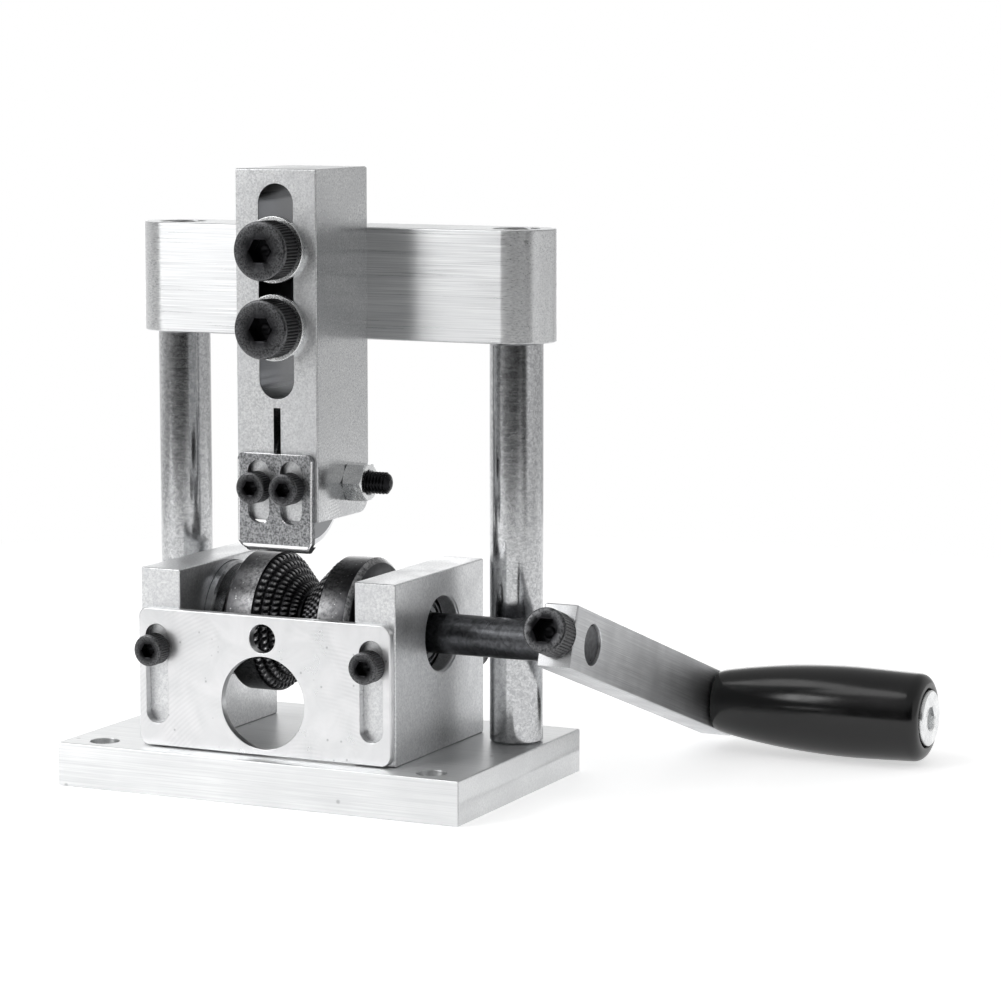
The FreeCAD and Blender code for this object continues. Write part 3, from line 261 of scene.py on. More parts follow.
# Black oxide on machined steel: soft black with a dull sheen, with painted shade between the teeth of a knurl,
# paler where it is rubbed and where a painted glint stands in for a highlight, with a little pale dust
def blackOxide(name, look):
    material, tree, shader = startMaterial(name, Metallic=look["metallic"])
    grit = mottle(tree, look["grit"], detail=3, rough=0.7)
    stains = mottle(tree, look["stain"], detail=3, warp=0.6)
    patchy = addNode(tree, "MapRange", [grit, *look["wearAndSheenSpan"], *look["wearAndSheenShares"]])
    # pale where rubbed and where a painted glint stands in for a highlight, as the mesh marks it
    wearAndGlint = addNode(tree, "Math", [meshMark(tree, "wearAndSheen"), patchy], operation="MULTIPLY")
    dust = specks(tree, look["dustSpacing"], look["dustShare"])
    colour = paint(tree, look["dark"], [
        (stains, *narrow, 1, look["light"]),
        # painted shade: the grooves of a knurl get a darker colour
        (meshMark(tree, "paintedGrooveShade"), 0, 1, 1, look["deep"]),
        (wearAndGlint, 0, 1, 1, look["bareAndSheen"]),
        (dust, 0, 1, look["dustCover"], look["bareAndSheen"])])
    roughness = addNode(tree, "MapRange", [grit, *wide, *look["roughness"]])
    finishMaterial(tree, shader, colour, roughness, [(grit, look["gritDepth"])])
    return material


# Zinc plated or bright turned steel: pale, with fine turning lines
def brightSteel(name, look):
    material, tree, shader = startMaterial(name, Metallic=1)
    lines = mottle(tree, look["line"], detail=3, rough=0.6)
    stains = mottle(tree, look["stain"], detail=3, warp=0.5)
    colour = paint(tree, look["dark"], [(stains, *narrow, 1, look["light"])])
    roughness = addNode(tree, "MapRange", [lines, *wide, *look["roughness"]])
    finishMaterial(tree, shader, colour, roughness, [(lines, look["lineDepth"])])
    return material


# Bead blasted steel sheet: matt grey and mottled, its rims and bend brighter, partly rubbed and partly a painted
# highlight
def blastedSheet(name, look):
    material, tree, shader = startMaterial(name, Metallic=1)
    grit = mottle(tree, look["grit"], detail=4, rough=0.75)
    wearAndSheen = meshMark(tree, "wearAndSheen")
    colour = paint(tree, look["dark"], [
        (grit, *look["gritSpan"], 1, look["light"]),
        (wearAndSheen, 0, 1, 1, look["bareAndSheen"])])
    bright, matt = look["roughness"]
    roughness = addNode(tree, "MapRange", [wearAndSheen, 0, 1, matt, bright])
    finishMaterial(tree, shader, colour, roughness, [(grit, look["gritDepth"])])
    return material


# Hardened tool steel, surface ground: dark grey, with rings round the bore and a bright honed bevel
def bladeSteel(name, look):
    material, tree, shader = startMaterial(name, Metallic=1)
    coords = addNode(tree, "TexCoord").outputs["Object"]
    fromBore = addNode(tree, "VectorMath", [coords, tuple(bladeAxis)], operation="SUBTRACT")
    flat = addNode(tree, "VectorMath", [fromBore, (0, 1, 1)], operation="MULTIPLY")
    radius = addNode(tree, "VectorMath", [flat], operation="LENGTH").outputs["Value"]
    ringCount = addNode(tree, "Math", [radius, look["ringWidth"] * mm], operation="DIVIDE")
    ringSpace = addNode(tree, "CombineXYZ", [ringCount])
    rings = addNode(tree, "TexNoise", {"Vector": ringSpace, "Scale": 1, "Detail": 3}).outputs["Fac"]
    inner, outer = look["bevelRadius"]
    bevel = addNode(tree, "MapRange", [radius, inner * mm, outer * mm]).outputs[0]
    colour = paint(tree, look["dark"], [(rings, 0, 1, 1, look["light"]), (bevel, 0, 1, 1, look["bevel"])])
    honed, ground = look["roughness"]
    roughness = addNode(tree, "MapRange", [bevel, 0, 1, ground, honed])
    finishMaterial(tree, shader, colour, roughness, [(rings, look["ringDepth"])])
    return material


# Moulded glossy plastic: deep black with a soft highlight and a little orange peel
def mouldedPlastic(name, look):
    material, tree, shader = startMaterial(name, Metallic=0, IOR=1.5)
    peel = mottle(tree, look["peel"], detail=2)
    scuffs = mottle(tree, look["scuff"], detail=4, rough=0.7, warp=0.8)
    colour = paint(tree, look["dark"], [(scuffs, *look["scuffSpan"], 1, look["light"])])
    roughness = addNode(tree, "MapRange", [scuffs, *look["scuffSpan"], *look["roughness"]])
    relief = [(peel, look["peelDepth"]), (scuffs, look["scuffDepth"])]
    finishMaterial(tree, shader, colour, roughness, relief)
    return material


# Brushing, blasting grit, turning lines and grinding rings are 0.05 to 0.1 mm on the real metal.
# Here they are drawn about four times as coarse, so that they show
baseLook = {"light": "#F0F1F1", "dark": "#D9DADB", "shade": "#D4D5D6", "pit": "#5A5B5D", "grain": alongX,
            "direction": (1, 0, 0), "anisotropy": 0.7, "streak": (30, 0.4, 0.4), "streakDepth": 0.006,
            "cloud": 16, "cloudShare": 0.5, "pitSpacing": 3, "pitShare": 0.05, "pitDark": 0.4,
            "pitDepth": 0.02, "roughness": (0.36, 0.46)}
beamLook = dict(baseLook, light="#E9EAEA", dark="#B9BABC", streak=(34, 0.28, 0.28), streakDepth=0.012,
                cloud=12, roughness=(0.26, 0.36), pitShare=0.03, anisotropy=0.9)
barLook = dict(baseLook, grain=alongCrank, direction=tuple(crankLine), streak=(0.22, 26, 0.22),
               streakDepth=0.003, light="#EDEEEF", dark="#CBCCCE", shade="#B9BABC", cloud=9,
               cloudShare=0.6, roughness=(0.4, 0.5), pitSpacing=1.6, pitShare=0.1)
blockLook = {"light": "#F4F5F5", "dark": "#CFD0D2", "shade": "#D2D3D5", "bright": "#FFFFFF",
             # the recess colour is painted shade for the walls of the clamp slot
             "recess": "#8F9092", "grit": 0.5, "gritDepth": 0.012, "cloud": 11, "cloudShare": 0.5,
             "arcPitch": 1.1, "arcCentre": (0.05, 0.02, 0.11), "arcDepth": 0.004, "patchShare": 0.8,
             "patchSpan": (0.45, 0.62), "scratch": (9, 0.25, 5), "scratchTurn": (1.0, 0, 0.3),
             "scratchSpan": (0.68, 0.72), "scratchShare": 0.5, "roughness": (0.38, 0.5),
             "milledRoughness": (0.34, 0.44), "milledGrit": 0.4}
armLook = dict(blockLook, light="#EDEEEE", dark="#BBBCBE", shade="#C4C5C7", grit=0.42, gritDepth=0.014,
               arcPitch=0.7, arcCentre=(0, -0.02, 0.121), arcDepth=0.003, scratch=(0.25, 0.25, 9),
               scratchTurn=(0, 0.15, 0), roughness=(0.36, 0.46), milledRoughness=(0.18, 0.28),
               milledGrit=0.2)
plateLook = {"light": "#EFEFF0", "dark": "#D8D9DA", "mark": "#9D9EA0", "arcPitch": 0.9,
             "arcCentre": (0.012, -0.027, -0.02), "arcDepth": 0.0015, "patch": 14, "patchSpan": (0.5, 0.62),
             "markDark": 0.12, "cloud": 8, "pitSpacing": 1.6, "pitShare": 0.16, "pitDark": 0.6,
             "pitDepth": 0.02, "waveDepth": 0.006, "roughness": (0.26, 0.4)}
columnLook = {"light": "#CCCDCE", "dark": "#A8A9AB", "ring": (3, 3, 0.3), "ringDepth": 0.001, "stain": 0.8,
              "stainDepth": 0.0004, "roughness": (0.12, 0.2)}
# painted reflection: the shaft is coloured far darker than the ground steel of the columns, standing in for the
# dark surroundings it mirrors between the blocks
shaftLook = {"light": "#5C5D60", "dark": "#434446", "ring": (0.4, 6, 6), "ringDepth": 0.003, "stain": 1.5,
             "stainDepth": 0.001, "roughness": (0.26, 0.36)}
# the third colour is the painted shade for the grooves of a knurl
screwLook = {"light": "#262628", "dark": "#1A1A1C", "deep": "#141416", "bareAndSheen": "#B0B1B3", "metallic": 0.9,
             "grit": 0.4, "gritDepth": 0.004, "stain": 2.5, "wearAndSheenSpan": (0.35, 0.6), "wearAndSheenShares": (0.1, 0.7),
             "roughness": (0.3, 0.4), "dustSpacing": 0.8, "dustShare": 0, "dustCover": 0.35}
wheelLook = dict(screwLook, light="#3E3E40", dark="#323234", deep="#303032", bareAndSheen="#F0F0F1", grit=0.9,
                 gritDepth=0.001, wearAndSheenShares=(0.2, 1), roughness=(0.28, 0.33), dustShare=0.22)
zincLook = {"light": "#F1F2F2", "dark": "#DEDFE0", "line": 0.4, "lineDepth": 0.002, "stain": 2,
            "roughness": (0.2, 0.34)}
bearingLook = dict(zincLook, roughness=(0.16, 0.26), light="#BABBBD", dark="#A2A3A5")
guardLook = {"light": "#B4B5B7", "dark": "#646567", "bareAndSheen": "#F4F4F5", "grit": 0.5, "gritDepth": 0.01,
             "gritSpan": (0.4, 0.6), "roughness": (0.22, 0.42)}
bladeLook = {"light": "#A3A4A6", "dark": "#8B8C8E", "bevel": "#C9CACC", "ringWidth": 0.35,
             "ringDepth": 0.002, "bevelRadius": (13.55, 13.65), "roughness": (0.2, 0.36)}
gripLook = {"light": "#0B0B0C", "dark": "#070708", "peel": 1.6, "peelDepth": 0.004, "scuff": (9, 4, 4),
            "scuffDepth": 0.001, "scuffSpan": (0.4, 0.7), "roughness": (0.16, 0.24)}

materialOf = {
    "base_aluminium": brushedAluminium("brushedAluminiumBase", baseLook),
    "beam_aluminium": brushedAluminium("brushedAluminiumBeam", beamLook),
    "crank_aluminium": brushedAluminium("brushedAluminiumBar", barLook),
    "block_aluminium": blastedAluminium("blastedAluminiumBlock", blockLook),
    "arm_aluminium": blastedAluminium("blastedAluminiumArm", armLook),
    "guide_steel": polishedSheet("polishedStainlessSheet", plateLook),
    "column_steel": groundSteel("groundSteelRod", columnLook),
    "shaft_steel": groundSteel("groundSteelShaft", shaftLook),
    "screw_steel": blackOxide("blackOxideScrews", screwLook),
    "wheel_steel": blackOxide("blackOxideWheels", wheelLook),
    "zinc_steel": brightSteel("zincPlatedSteel", zincLook),
    "bearing_steel": brightSteel("polishedBearingSteel", bearingLook),
    "guard_steel": blastedSheet("blastedSteelSheet", guardLook),
    "blade_steel": bladeSteel("groundToolSteel", bladeLook),
    "grip_plastic": mouldedPlastic("mouldedBlackPlastic", gripLook),
}
print("materials made:", len(materialOf))


# Mesh helpers

def stand(location, direction):
    # a place in metres whose local unit is the millimetre and whose Z points along the direction
    turn = Vector(direction).to_track_quat("Z", "Y").to_matrix().to_4x4()
    return Matrix.Translation(location) @ turn @ Matrix.Scale(mm, 4)


def onEach(value, count):
    # a value for each vertex of a ring, from one number, a list or a function of the angle
    if callable(value):
        return [value(fullTurn * k / count) for k in range(count)]
    return value if isinstance(value, list) else [value] * count


def addLoop(bm, place, radius, height, count):
    # one ring of vertices about the local Z; a radius of 0 is a point
    if radius == 0:
        return [bm.verts.new(place @ Vector((0, 0, height)))]
    loop = []
    for k, (reach, level) in enumerate(zip(onEach(radius, count), onEach(height, count))):
        angle = fullTurn * k / count
        loop.append(bm.verts.new(place @ Vector((reach * math.cos(angle), reach * math.sin(angle), level))))
    return loop


def skinLoops(bm, loops, count, closed=False):
    following = loops[1:] + (loops[:1] if closed else [])
    for first, second in zip(loops, following):
        for k in range(count):
            j = (k + 1) % count
            if len(first) == 1:
                bm.faces.new((first[0], second[j], second[k]))
            elif len(second) == 1:
                bm.faces.new((first[k], first[j], second[0]))
            else:
                bm.faces.new((first[k], first[j], second[j], second[k]))


def skinRings(bm, place, rings, count, closed=False):
    # skins rings of (radius, height)
    loops = [addLoop(bm, place, radius, height, count) for radius, height in rings]
    skinLoops(bm, loops, count, closed)


def hexagonReach(across):
    def reach(angle):
        return across / 2 / math.cos(angle % (math.pi / 3) - math.pi / 6)
    return reach


# merge and cadMerge are how close vertices become one; above and cadFlat are degrees
edging = {"segments": 2, "above": 58, "merge": 1e-4, "cadMerge": 2e-4, "cadFlat": 0.4}


def cadCopy(node):
    # the CAD piece as an editable mesh, its flat faces whole again
    bm = bmesh.new()
    bm.from_mesh(nodes[node].data)
    bmesh.ops.remove_doubles(bm, verts=bm.verts, dist=edging["cadMerge"] * mm)
    bmesh.ops.dissolve_limit(bm, angle_limit=math.radians(edging["cadFlat"]), verts=bm.verts, edges=bm.edges)
    return bm


def finishPiece(name, bm, body, slot, replaced, sharpAngle=32, bevel=0):
    bmesh.ops.remove_doubles(bm, verts=bm.verts, dist=edging["merge"] * mm)
    bmesh.ops.recalc_face_normals(bm, faces=bm.faces)
    mesh = bpy.data.meshes.new(name)
    bm.to_mesh(mesh)
    bm.free()
    if "custom_normal" in mesh.attributes:
        mesh.attributes.remove(mesh.attributes["custom_normal"])
    mesh.shade_smooth()
    mesh.set_sharp_from_angle(angle=math.pi if bevel else math.radians(sharpAngle))
    mesh.materials.clear()
    mesh.materials.append(materialOf[slot])
    piece = bpy.data.objects.new(name, mesh)
    bpy.context.scene.collection.objects.link(piece)
    if bevel:
        edges = piece.modifiers.new("softEdges", "BEVEL")
        edges.width = bevel * mm
        edges.segments = edging["segments"]
        edges.limit_method = "ANGLE"
        edges.angle_limit = math.radians(edging["above"])
        edges.use_clamp_overlap = False
        normals = piece.modifiers.new("flatFaces", "WEIGHTED_NORMAL")
        normals.keep_sharp = False
    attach(piece, body)
    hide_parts(*replaced)
    return piece


def softenedCopy(node, bevel, name):
    # the CAD piece again, with small broken edges
    return finishPiece(name, cadCopy(node), bodyOf[node], slotOf[node], [node], bevel=bevel)


def markMesh(piece, name, domain, values):
    # a number on each vertex or face, for the materials to read
    piece.data.attributes.new(name, "FLOAT", domain).data.foreach_set("value", values)


# Plates, blocks, bars and other machined pieces keep their CAD shape and get broken edges

brokenEdges = {
    "base_plate": ("basePlate", 0.18),
    "top_beam": ("topBeam", 0.15),
    "cutter_arm": ("cutterArm", 0.15),
    "guide_plate": ("guidePlate", 0.18),
    "crank_bar": ("crankBar", 0.18),
    "arm_clamp_washers": ("armClampWashers", 0.15),
    "wheel_spacers": ("wheelSpacers", 0.2),
}
for node, (pieceName, width) in brokenEdges.items():
    softenedCopy(node, width, pieceName)


def makeBearingBlocks():
    # the shaft opening has a wider countersunk rim than the other edges
    block = {"edges": 0.15, "rim": 0.6, "opening": 8.25, "faceSlack": 0.01, "roundSlack": 0.02}
    for side in ("left", "right"):
        node = side + "_bearing_block"
        piece = softenedCopy(node, block["edges"], side + "BearingBlock")
        outer = max(abs(corner.x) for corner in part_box(node))
        bm = bmesh.new()
        bm.from_mesh(piece.data)
        rim = []
        for edge in bm.edges:
            ends = [vertex.co for vertex in edge.verts]
            offFace = max(abs(abs(end.x) - outer) for end in ends)
            offRound = max(abs((end - shaftAxis).yz.length - block["opening"] * mm) for end in ends)
            if offFace < block["faceSlack"] * mm and offRound < block["roundSlack"] * mm:
                rim.append(edge)
        bmesh.ops.bevel(bm, geom=rim, offset=block["rim"] * mm, offset_type="OFFSET", segments=1,
                        profile=0.5, affect="EDGES", clamp_overlap=False)
        bm.to_mesh(piece.data)
        bm.free()
        print(piece.name, "countersunk, rim edges:", len(rim))


def makeGuard():
    # blasted on the flat; the rims, the bend and the foot are pale, partly rubbed and partly a painted highlight.
    # each rim step is how far it runs in from the step before and how deep its outer side lies
    guard = {"rim": [(0.16, 0.42), (0.22, 0.18), (0.24, 0.04)], "footHeight": 2.6}
    # the skin is what faces the front, and the foot's underside: shares of the normal along each axis
    skinLimits = {"sideways": 0.1, "rearwards": 0.3, "turned": 0.2}
    # faces turned this far from the front get the pale colour: rubbed metal and a painted highlight
    wornAndLitFacings = (0.25, 0.985)  # the rims and the bend face the front less than the flat does
    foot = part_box("depth_guard")[0].z + guard["footHeight"] * mm
    bm = cadCopy("depth_guard")
    bmesh.ops.recalc_face_normals(bm, faces=bm.faces)
    skin = set()
    for face in bm.faces:
        normal = face.normal
        isFront = normal.y < -skinLimits["turned"]
        isUnder = normal.z < -skinLimits["turned"] and face.calc_center_median().z < foot
        isLevel = abs(normal.x) < skinLimits["sideways"] and normal.y < skinLimits["rearwards"]
        if isLevel and (isFront or isUnder):
            skin.add(face)
    shifts = {}
    for inset, sink in guard["rim"]:
        for vertex in {vertex for face in skin for vertex in face.verts}:
            mine = [face.normal for face in vertex.link_faces if face in skin]
            if len(mine) < len(vertex.link_faces):
                shifts[vertex] = sum(mine, Vector()).normalized() * sink * mm
        bmesh.ops.inset_region(bm, faces=list(skin), thickness=inset * mm, use_boundary=True,
                               use_even_offset=True)
    for vertex, shift in shifts.items():
        vertex.co -= shift
    node = "depth_guard"
    piece = finishPiece("depthGuard", bm, bodyOf[node], slotOf[node], [node], sharpAngle=50)
    flat = piece.modifiers.new("flatFaces", "WEIGHTED_NORMAL")
    flat.keep_sharp = True
    low, high = wornAndLitFacings
    # painted highlight as well as wear: the paler faces are picked by which way they look
    markMesh(piece, "wearAndSheen", "FACE", [low < abs(face.normal.y) < high for face in piece.data.polygons])


def shadeSlot():
    # the walls of the clamp slot get painted shade, a darker colour; its faces look neither forwards nor straight
    # up
    slot = {"halfWidth": 5, "lowest": 80, "forwards": 0.5, "upwards": 0.99}
    piece = bpy.data.objects["cutterArm"]
    inside = []
    for face in piece.data.polygons:
        centre = face.center
        inSlot = abs(centre.x) < slot["halfWidth"] * mm and centre.z > slot["lowest"] * mm
        inside.append(inSlot and abs(face.normal.y) < slot["forwards"] and face.normal.z < slot["upwards"])
    markMesh(piece, "recess", "FACE", inside)


makeBearingBlocks()
makeGuard()
shadeSlot()
print("machined pieces given broken edges")


# Socket head screws: knurled heads, turned rims, hexagon sockets and cut threads

screwKinds = {
    "armClamp": {"head": 6.5, "height": 6, "key": 5, "ridges": 54, "ridgeDepth": 0.3, "shank": 3,
                 "length": 39.4, "pitch": 1, "rim": 0.55},
    "plate": {"head": 3.5, "height": 4, "key": 3, "ridges": 36, "ridgeDepth": 0.2, "shank": 2,
              "length": 11, "pitch": 0.7, "rim": 0.4},
    "block": {"head": 4.25, "height": 5, "key": 4, "ridges": 36, "ridgeDepth": 0.22, "shank": 2.5,
              "length": 16, "pitch": 0.8, "rim": 0.4},
    "beam": {"head": 5, "height": 6, "key": 5, "ridges": 42, "ridgeDepth": 0.25, "shank": 3,
             "length": 30.8, "pitch": 1, "rim": 0.45},
    "blade": {"head": 4.9, "height": 4.3, "key": 4, "ridges": 42, "ridgeDepth": 0, "shank": 2.5,
              "length": 30, "pitch": 0.8, "rim": 0.8},
}
screwKinds["guard"] = dict(screwKinds["plate"], length=9.4)
screwKinds["rear"] = dict(screwKinds["block"], length=7)
screwKinds["foot"] = dict(screwKinds["beam"], length=15.8)
screwKinds["crank"] = dict(screwKinds["beam"], length=7.25)

# rimCurve is shares of the rim's width: in from the side of the head and down from its top.
# ridge is how deep one ridge of the knurl lies at its crest, flank, root and flank, as shares of its depth.
# socketDepth is a share of the head's height, drillRadius and drillDepth are shares of the key
headShape = {"rimCurve": [(1.15, 0), (0.75, 0.06), (0.3, 0.32), (0.05, 0.75), (0, 1.05), (0, 1.2)],
             "ridge": (0, 0.3, 1, 0.3), "ridgeRun": 0.12, "ridgeEnd": 0.45, "band": 0.35, "footEdge": 0.2,
             "socketDepth": 0.55, "drillRadius": 0.275, "drillDepth": 0.22, "mouthWidth": 0.14,
             "mouthDepth": 0.12, "mouthShare": 0.18}
# depth is a share of the pitch, flank is how steep the V groove is, thinnest is where a rounded tip ends
threadCut = {"stepsPerPitch": 6, "depth": 0.55, "flank": 2.4, "thinnest": 0.12, "play": 0.02, "tipShare": 0.5}
# how pale the rims and knurl crests are: rubbed metal and a painted glint
wearAndGlint = {"rim": 0.45, "rimWidth": 1.2, "rimDepth": 1.3, "crest": 0.3, "crestDepth": 0.08}


def threadReach(radius, pitch, height, depth):
    def reach(angle):
        turn = (height / pitch + angle / fullTurn) % 1
        crest = min(1, threadCut["flank"] * abs(turn - 0.5))  # a V groove between flat crests
        return radius - depth * (1 - crest)
    return reach


def threadRings(radius, pitch, start, end, tip):
    # rings from start down to end, with a rounded tip
    steps = max(2, round((start - end) / pitch * threadCut["stepsPerPitch"]))
    rings = []
    for k in range(steps + 1):
        height = start + (end - start) * k / steps
        left = min(1, (height - end) / tip)
        ease = math.sqrt(max(threadCut["thinnest"], 1 - (1 - left) ** 2))
        rings.append((threadReach(radius * ease, pitch, height, threadCut["depth"] * pitch * left), height))
    return rings + [(0, end)]


def rimRings(head, rim, curve):
    return [(head - rim * inwards, -rim * down) for inwards, down in curve]


def addSocketScrew(bm, place, kind):
    # local origin at the middle of the head's top, Z outwards
    head, height, key, rim, shank = (kind[size] for size in ("head", "height", "key", "rim", "shank"))
    ridge = headShape["ridge"]
    count = kind["ridges"] * len(ridge)

    def knurl(angle):
        return head - kind["ridgeDepth"] * ridge[round(angle * count / fullTurn) % len(ridge)]

    socket = hexagonReach(key)
    depth = headShape["socketDepth"] * height
    rings = [(0, -depth - headShape["drillDepth"] * key), (headShape["drillRadius"] * key, -depth),
             (socket, -depth), (socket, -headShape["mouthShare"] * rim - headShape["mouthDepth"]),
             (socket(0) + headShape["mouthWidth"], 0)]
    rings += rimRings(head, rim, headShape["rimCurve"])
    rings += [(knurl, rings[-1][1] - headShape["ridgeRun"]), (knurl, headShape["ridgeEnd"] - height),
              (head, headShape["band"] - height), (head, headShape["footEdge"] - height),
              (head - headShape["footEdge"], -height), (shank, -height)]
    rings += threadRings(shank - threadCut["play"], kind["pitch"], -height, -height - kind["length"],
                         threadCut["tipShare"] * shank)
    skinRings(bm, place, rings, count)


def headPlaces(node, direction, headRadius):
    # the middles of the head tops, read from the CAD box
    low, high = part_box(node)
    nearest = 0.5 * mm  # heads closer than this are one head
    along = max(range(3), key=lambda axis: abs(direction[axis]))
    choices = []
    for axis in range(3):
        if axis == along:
            choices.append([high[axis] if direction[axis] > 0 else low[axis]])
        else:
            ends = (low[axis] + headRadius * mm, high[axis] - headRadius * mm)
            choices.append(ends if ends[1] - ends[0] > nearest else [sum(ends) / 2])
    return [Vector((x, y, z)) for x in choices[0] for y in choices[1] for z in choices[2]]


def screwGroup(name, node, kindName, direction, places=None):
    kind = screwKinds[kindName]
    tops = places or headPlaces(node, direction, kind["head"])
    bm = bmesh.new()
    for top in tops:
        addSocketScrew(bm, stand(top, direction), kind)
    piece = finishPiece(name, bm, bodyOf[node], slotOf[node], [node], sharpAngle=28)
    # the rims and the crests of the knurl are rubbed and carry a painted glint
    out = Vector(direction).normalized()
    rimInside = kind["head"] - kind["rim"] * wearAndGlint["rimWidth"]
    rimBottom = kind["rim"] * wearAndGlint["rimDepth"]
    wearAndSheen = []
    for vertex in piece.data.vertices:
        offset = vertex.co - min(tops, key=lambda top: (vertex.co - top).length)
        depth = -offset.dot(out) / mm
        reach = (offset + out * depth * mm).length / mm
        onRim = reach > rimInside and depth < rimBottom
        onCrest = reach > kind["head"] - wearAndGlint["crestDepth"] and depth < kind["height"]
        wearAndSheen.append(wearAndGlint["rim"] if onRim else wearAndGlint["crest"] if onCrest else 0)
    markMesh(piece, "wearAndSheen", "POINT", wearAndSheen)


front, rear, up, down, left = (0, -1, 0), (0, 1, 0), (0, 0, 1), (0, 0, -1), (-1, 0, 0)
screwGroup("armClampScrews", "arm_clamp_screws", "armClamp", front)
screwGroup("guidePlateScrews", "guide_plate_screws", "plate", front)
screwGroup("guardScrews", "guard_screws", "guard", front)
screwGroup("blockRearScrews", "block_rear_screws", "rear", rear)
screwGroup("blockBaseScrews", "block_base_screws", "block", down)
screwGroup("columnBaseScrews", "column_base_screws", "foot", down)
screwGroup("beamScrews", "beam_screws", "beam", up)
screwGroup("bladeBolt", "blade_bolt", "blade", left)
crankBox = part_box("crank_bar")
crankHub = {"reach": 10.5, "standoff": 1.3}
crankReach = crankHub["reach"] + crankHub["standoff"] + screwKinds["crank"]["height"]
crankHead = shaftAxis - crankLine * crankReach * mm
crankHead.x = (crankBox[0].x + crankBox[1].x) / 2
screwGroup("crankClampScrew", "crank_clamp_screw", "crank", -crankLine, [crankHead])
print("screws cut:", len(screwKinds), "kinds")


# Hexagon nut: the corners fall away below the faces

def makeBladeNut():
    nut = {"across": 8, "chamferReach": 3.95, "slope": 0.5, "bore": 2.6, "sink": 0.35, "segments": 96}
    low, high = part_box("blade_nut")
    height = (high.x - low.x) / mm
    side = hexagonReach(nut["across"])

    def drop(angle):
        return max(0, (side(angle) - nut["chamferReach"]) * nut["slope"])

    def rise(angle):
        return height - drop(angle)

    mouth = nut["bore"] + nut["sink"]
    rings = [(side, drop), (side, rise), (nut["chamferReach"], height), (mouth, height),
             (nut["bore"], height - nut["sink"]), (nut["bore"], nut["sink"]), (mouth, 0),
             (nut["chamferReach"], 0)]
    bm = bmesh.new()
    skinRings(bm, stand((low.x, bladeAxis.y, bladeAxis.z), (1, 0, 0)), rings, nut["segments"], closed=True)
    finishPiece("bladeNut", bm, bodyOf["blade_nut"], slotOf["blade_nut"], ["blade_nut"], sharpAngle=25)


# Cutting disc: flat faces, honed bevel and a small land at the rim

def makeBlade():
    disc = {"radius": 15, "bevel": 1.4, "thick": 1.2, "land": 0.1, "bore": 4.05, "boreEdge": 0.1,
            "segments": 180}
    face = -disc["thick"] / 2
    side = [(disc["bore"], face + disc["boreEdge"]), (disc["bore"] + disc["boreEdge"], face),
            (disc["radius"] - disc["bevel"], face), (disc["radius"], -disc["land"] / 2)]
    profile = side + [(radius, -height) for radius, height in reversed(side)]
    bm = bmesh.new()
    skinRings(bm, stand(bladeAxis, (1, 0, 0)), profile, disc["segments"], closed=True)
    finishPiece("cuttingBlade", bm, "blade", "blade_steel", ["cutting_blade"], sharpAngle=15)


makeBladeNut()
makeBlade()
print("nut and cutting disc turned")


# Feed wheels: a plain band, and a cone cut into rings of blunt teeth

# bluntness is how flat the teeth are, and the next two say how high up a tooth its bright top starts and how
# bright the innermost teeth are: rubbed metal and a painted glint.
# lift is how far a top comes out of the painted shade of the grooves
feedWheel = {"bore": 4.55, "groove": 8.4, "radius": 15.8, "gap": 0.3, "cone": 7.7, "outer": 15.75,
             "chamfer": 1.1, "teeth": 55, "rings": 5, "slant": 0.35, "depth": 0.65, "stepsPerTooth": 10,
             "bluntness": 1.35, "wearAndGlintFrom": 0.7, "wearAndGlintInside": 0.4, "lift": 0.5}
# the plain band, from the cone's shoulder out: how far below the radius, how far out and how pale
bandEdges = {"shoulder": 0.35, "shoulderWear": 0.25, "corner": 0.12, "cornerWear": 0.5, "faceWear": 0.2,
             "faceSink": 0.05, "faceEdge": 0.1}
setScrewHole = {"inset": 3.8, "radius": 1.55, "from": 2, "to": 18, "segments": 36}


def toothPeak(tooth, ring):
    # 1 on the flat of a tooth and 0 in the V grooves that run round the cone and along it
    aroundGroove = abs(ring % 1 - 0.5) * 2
    alongGroove = abs((tooth + feedWheel["slant"] * ring) % 1 - 0.5) * 2
    return min(1, feedWheel["bluntness"] * (1 - max(aroundGroove, alongGroove)))


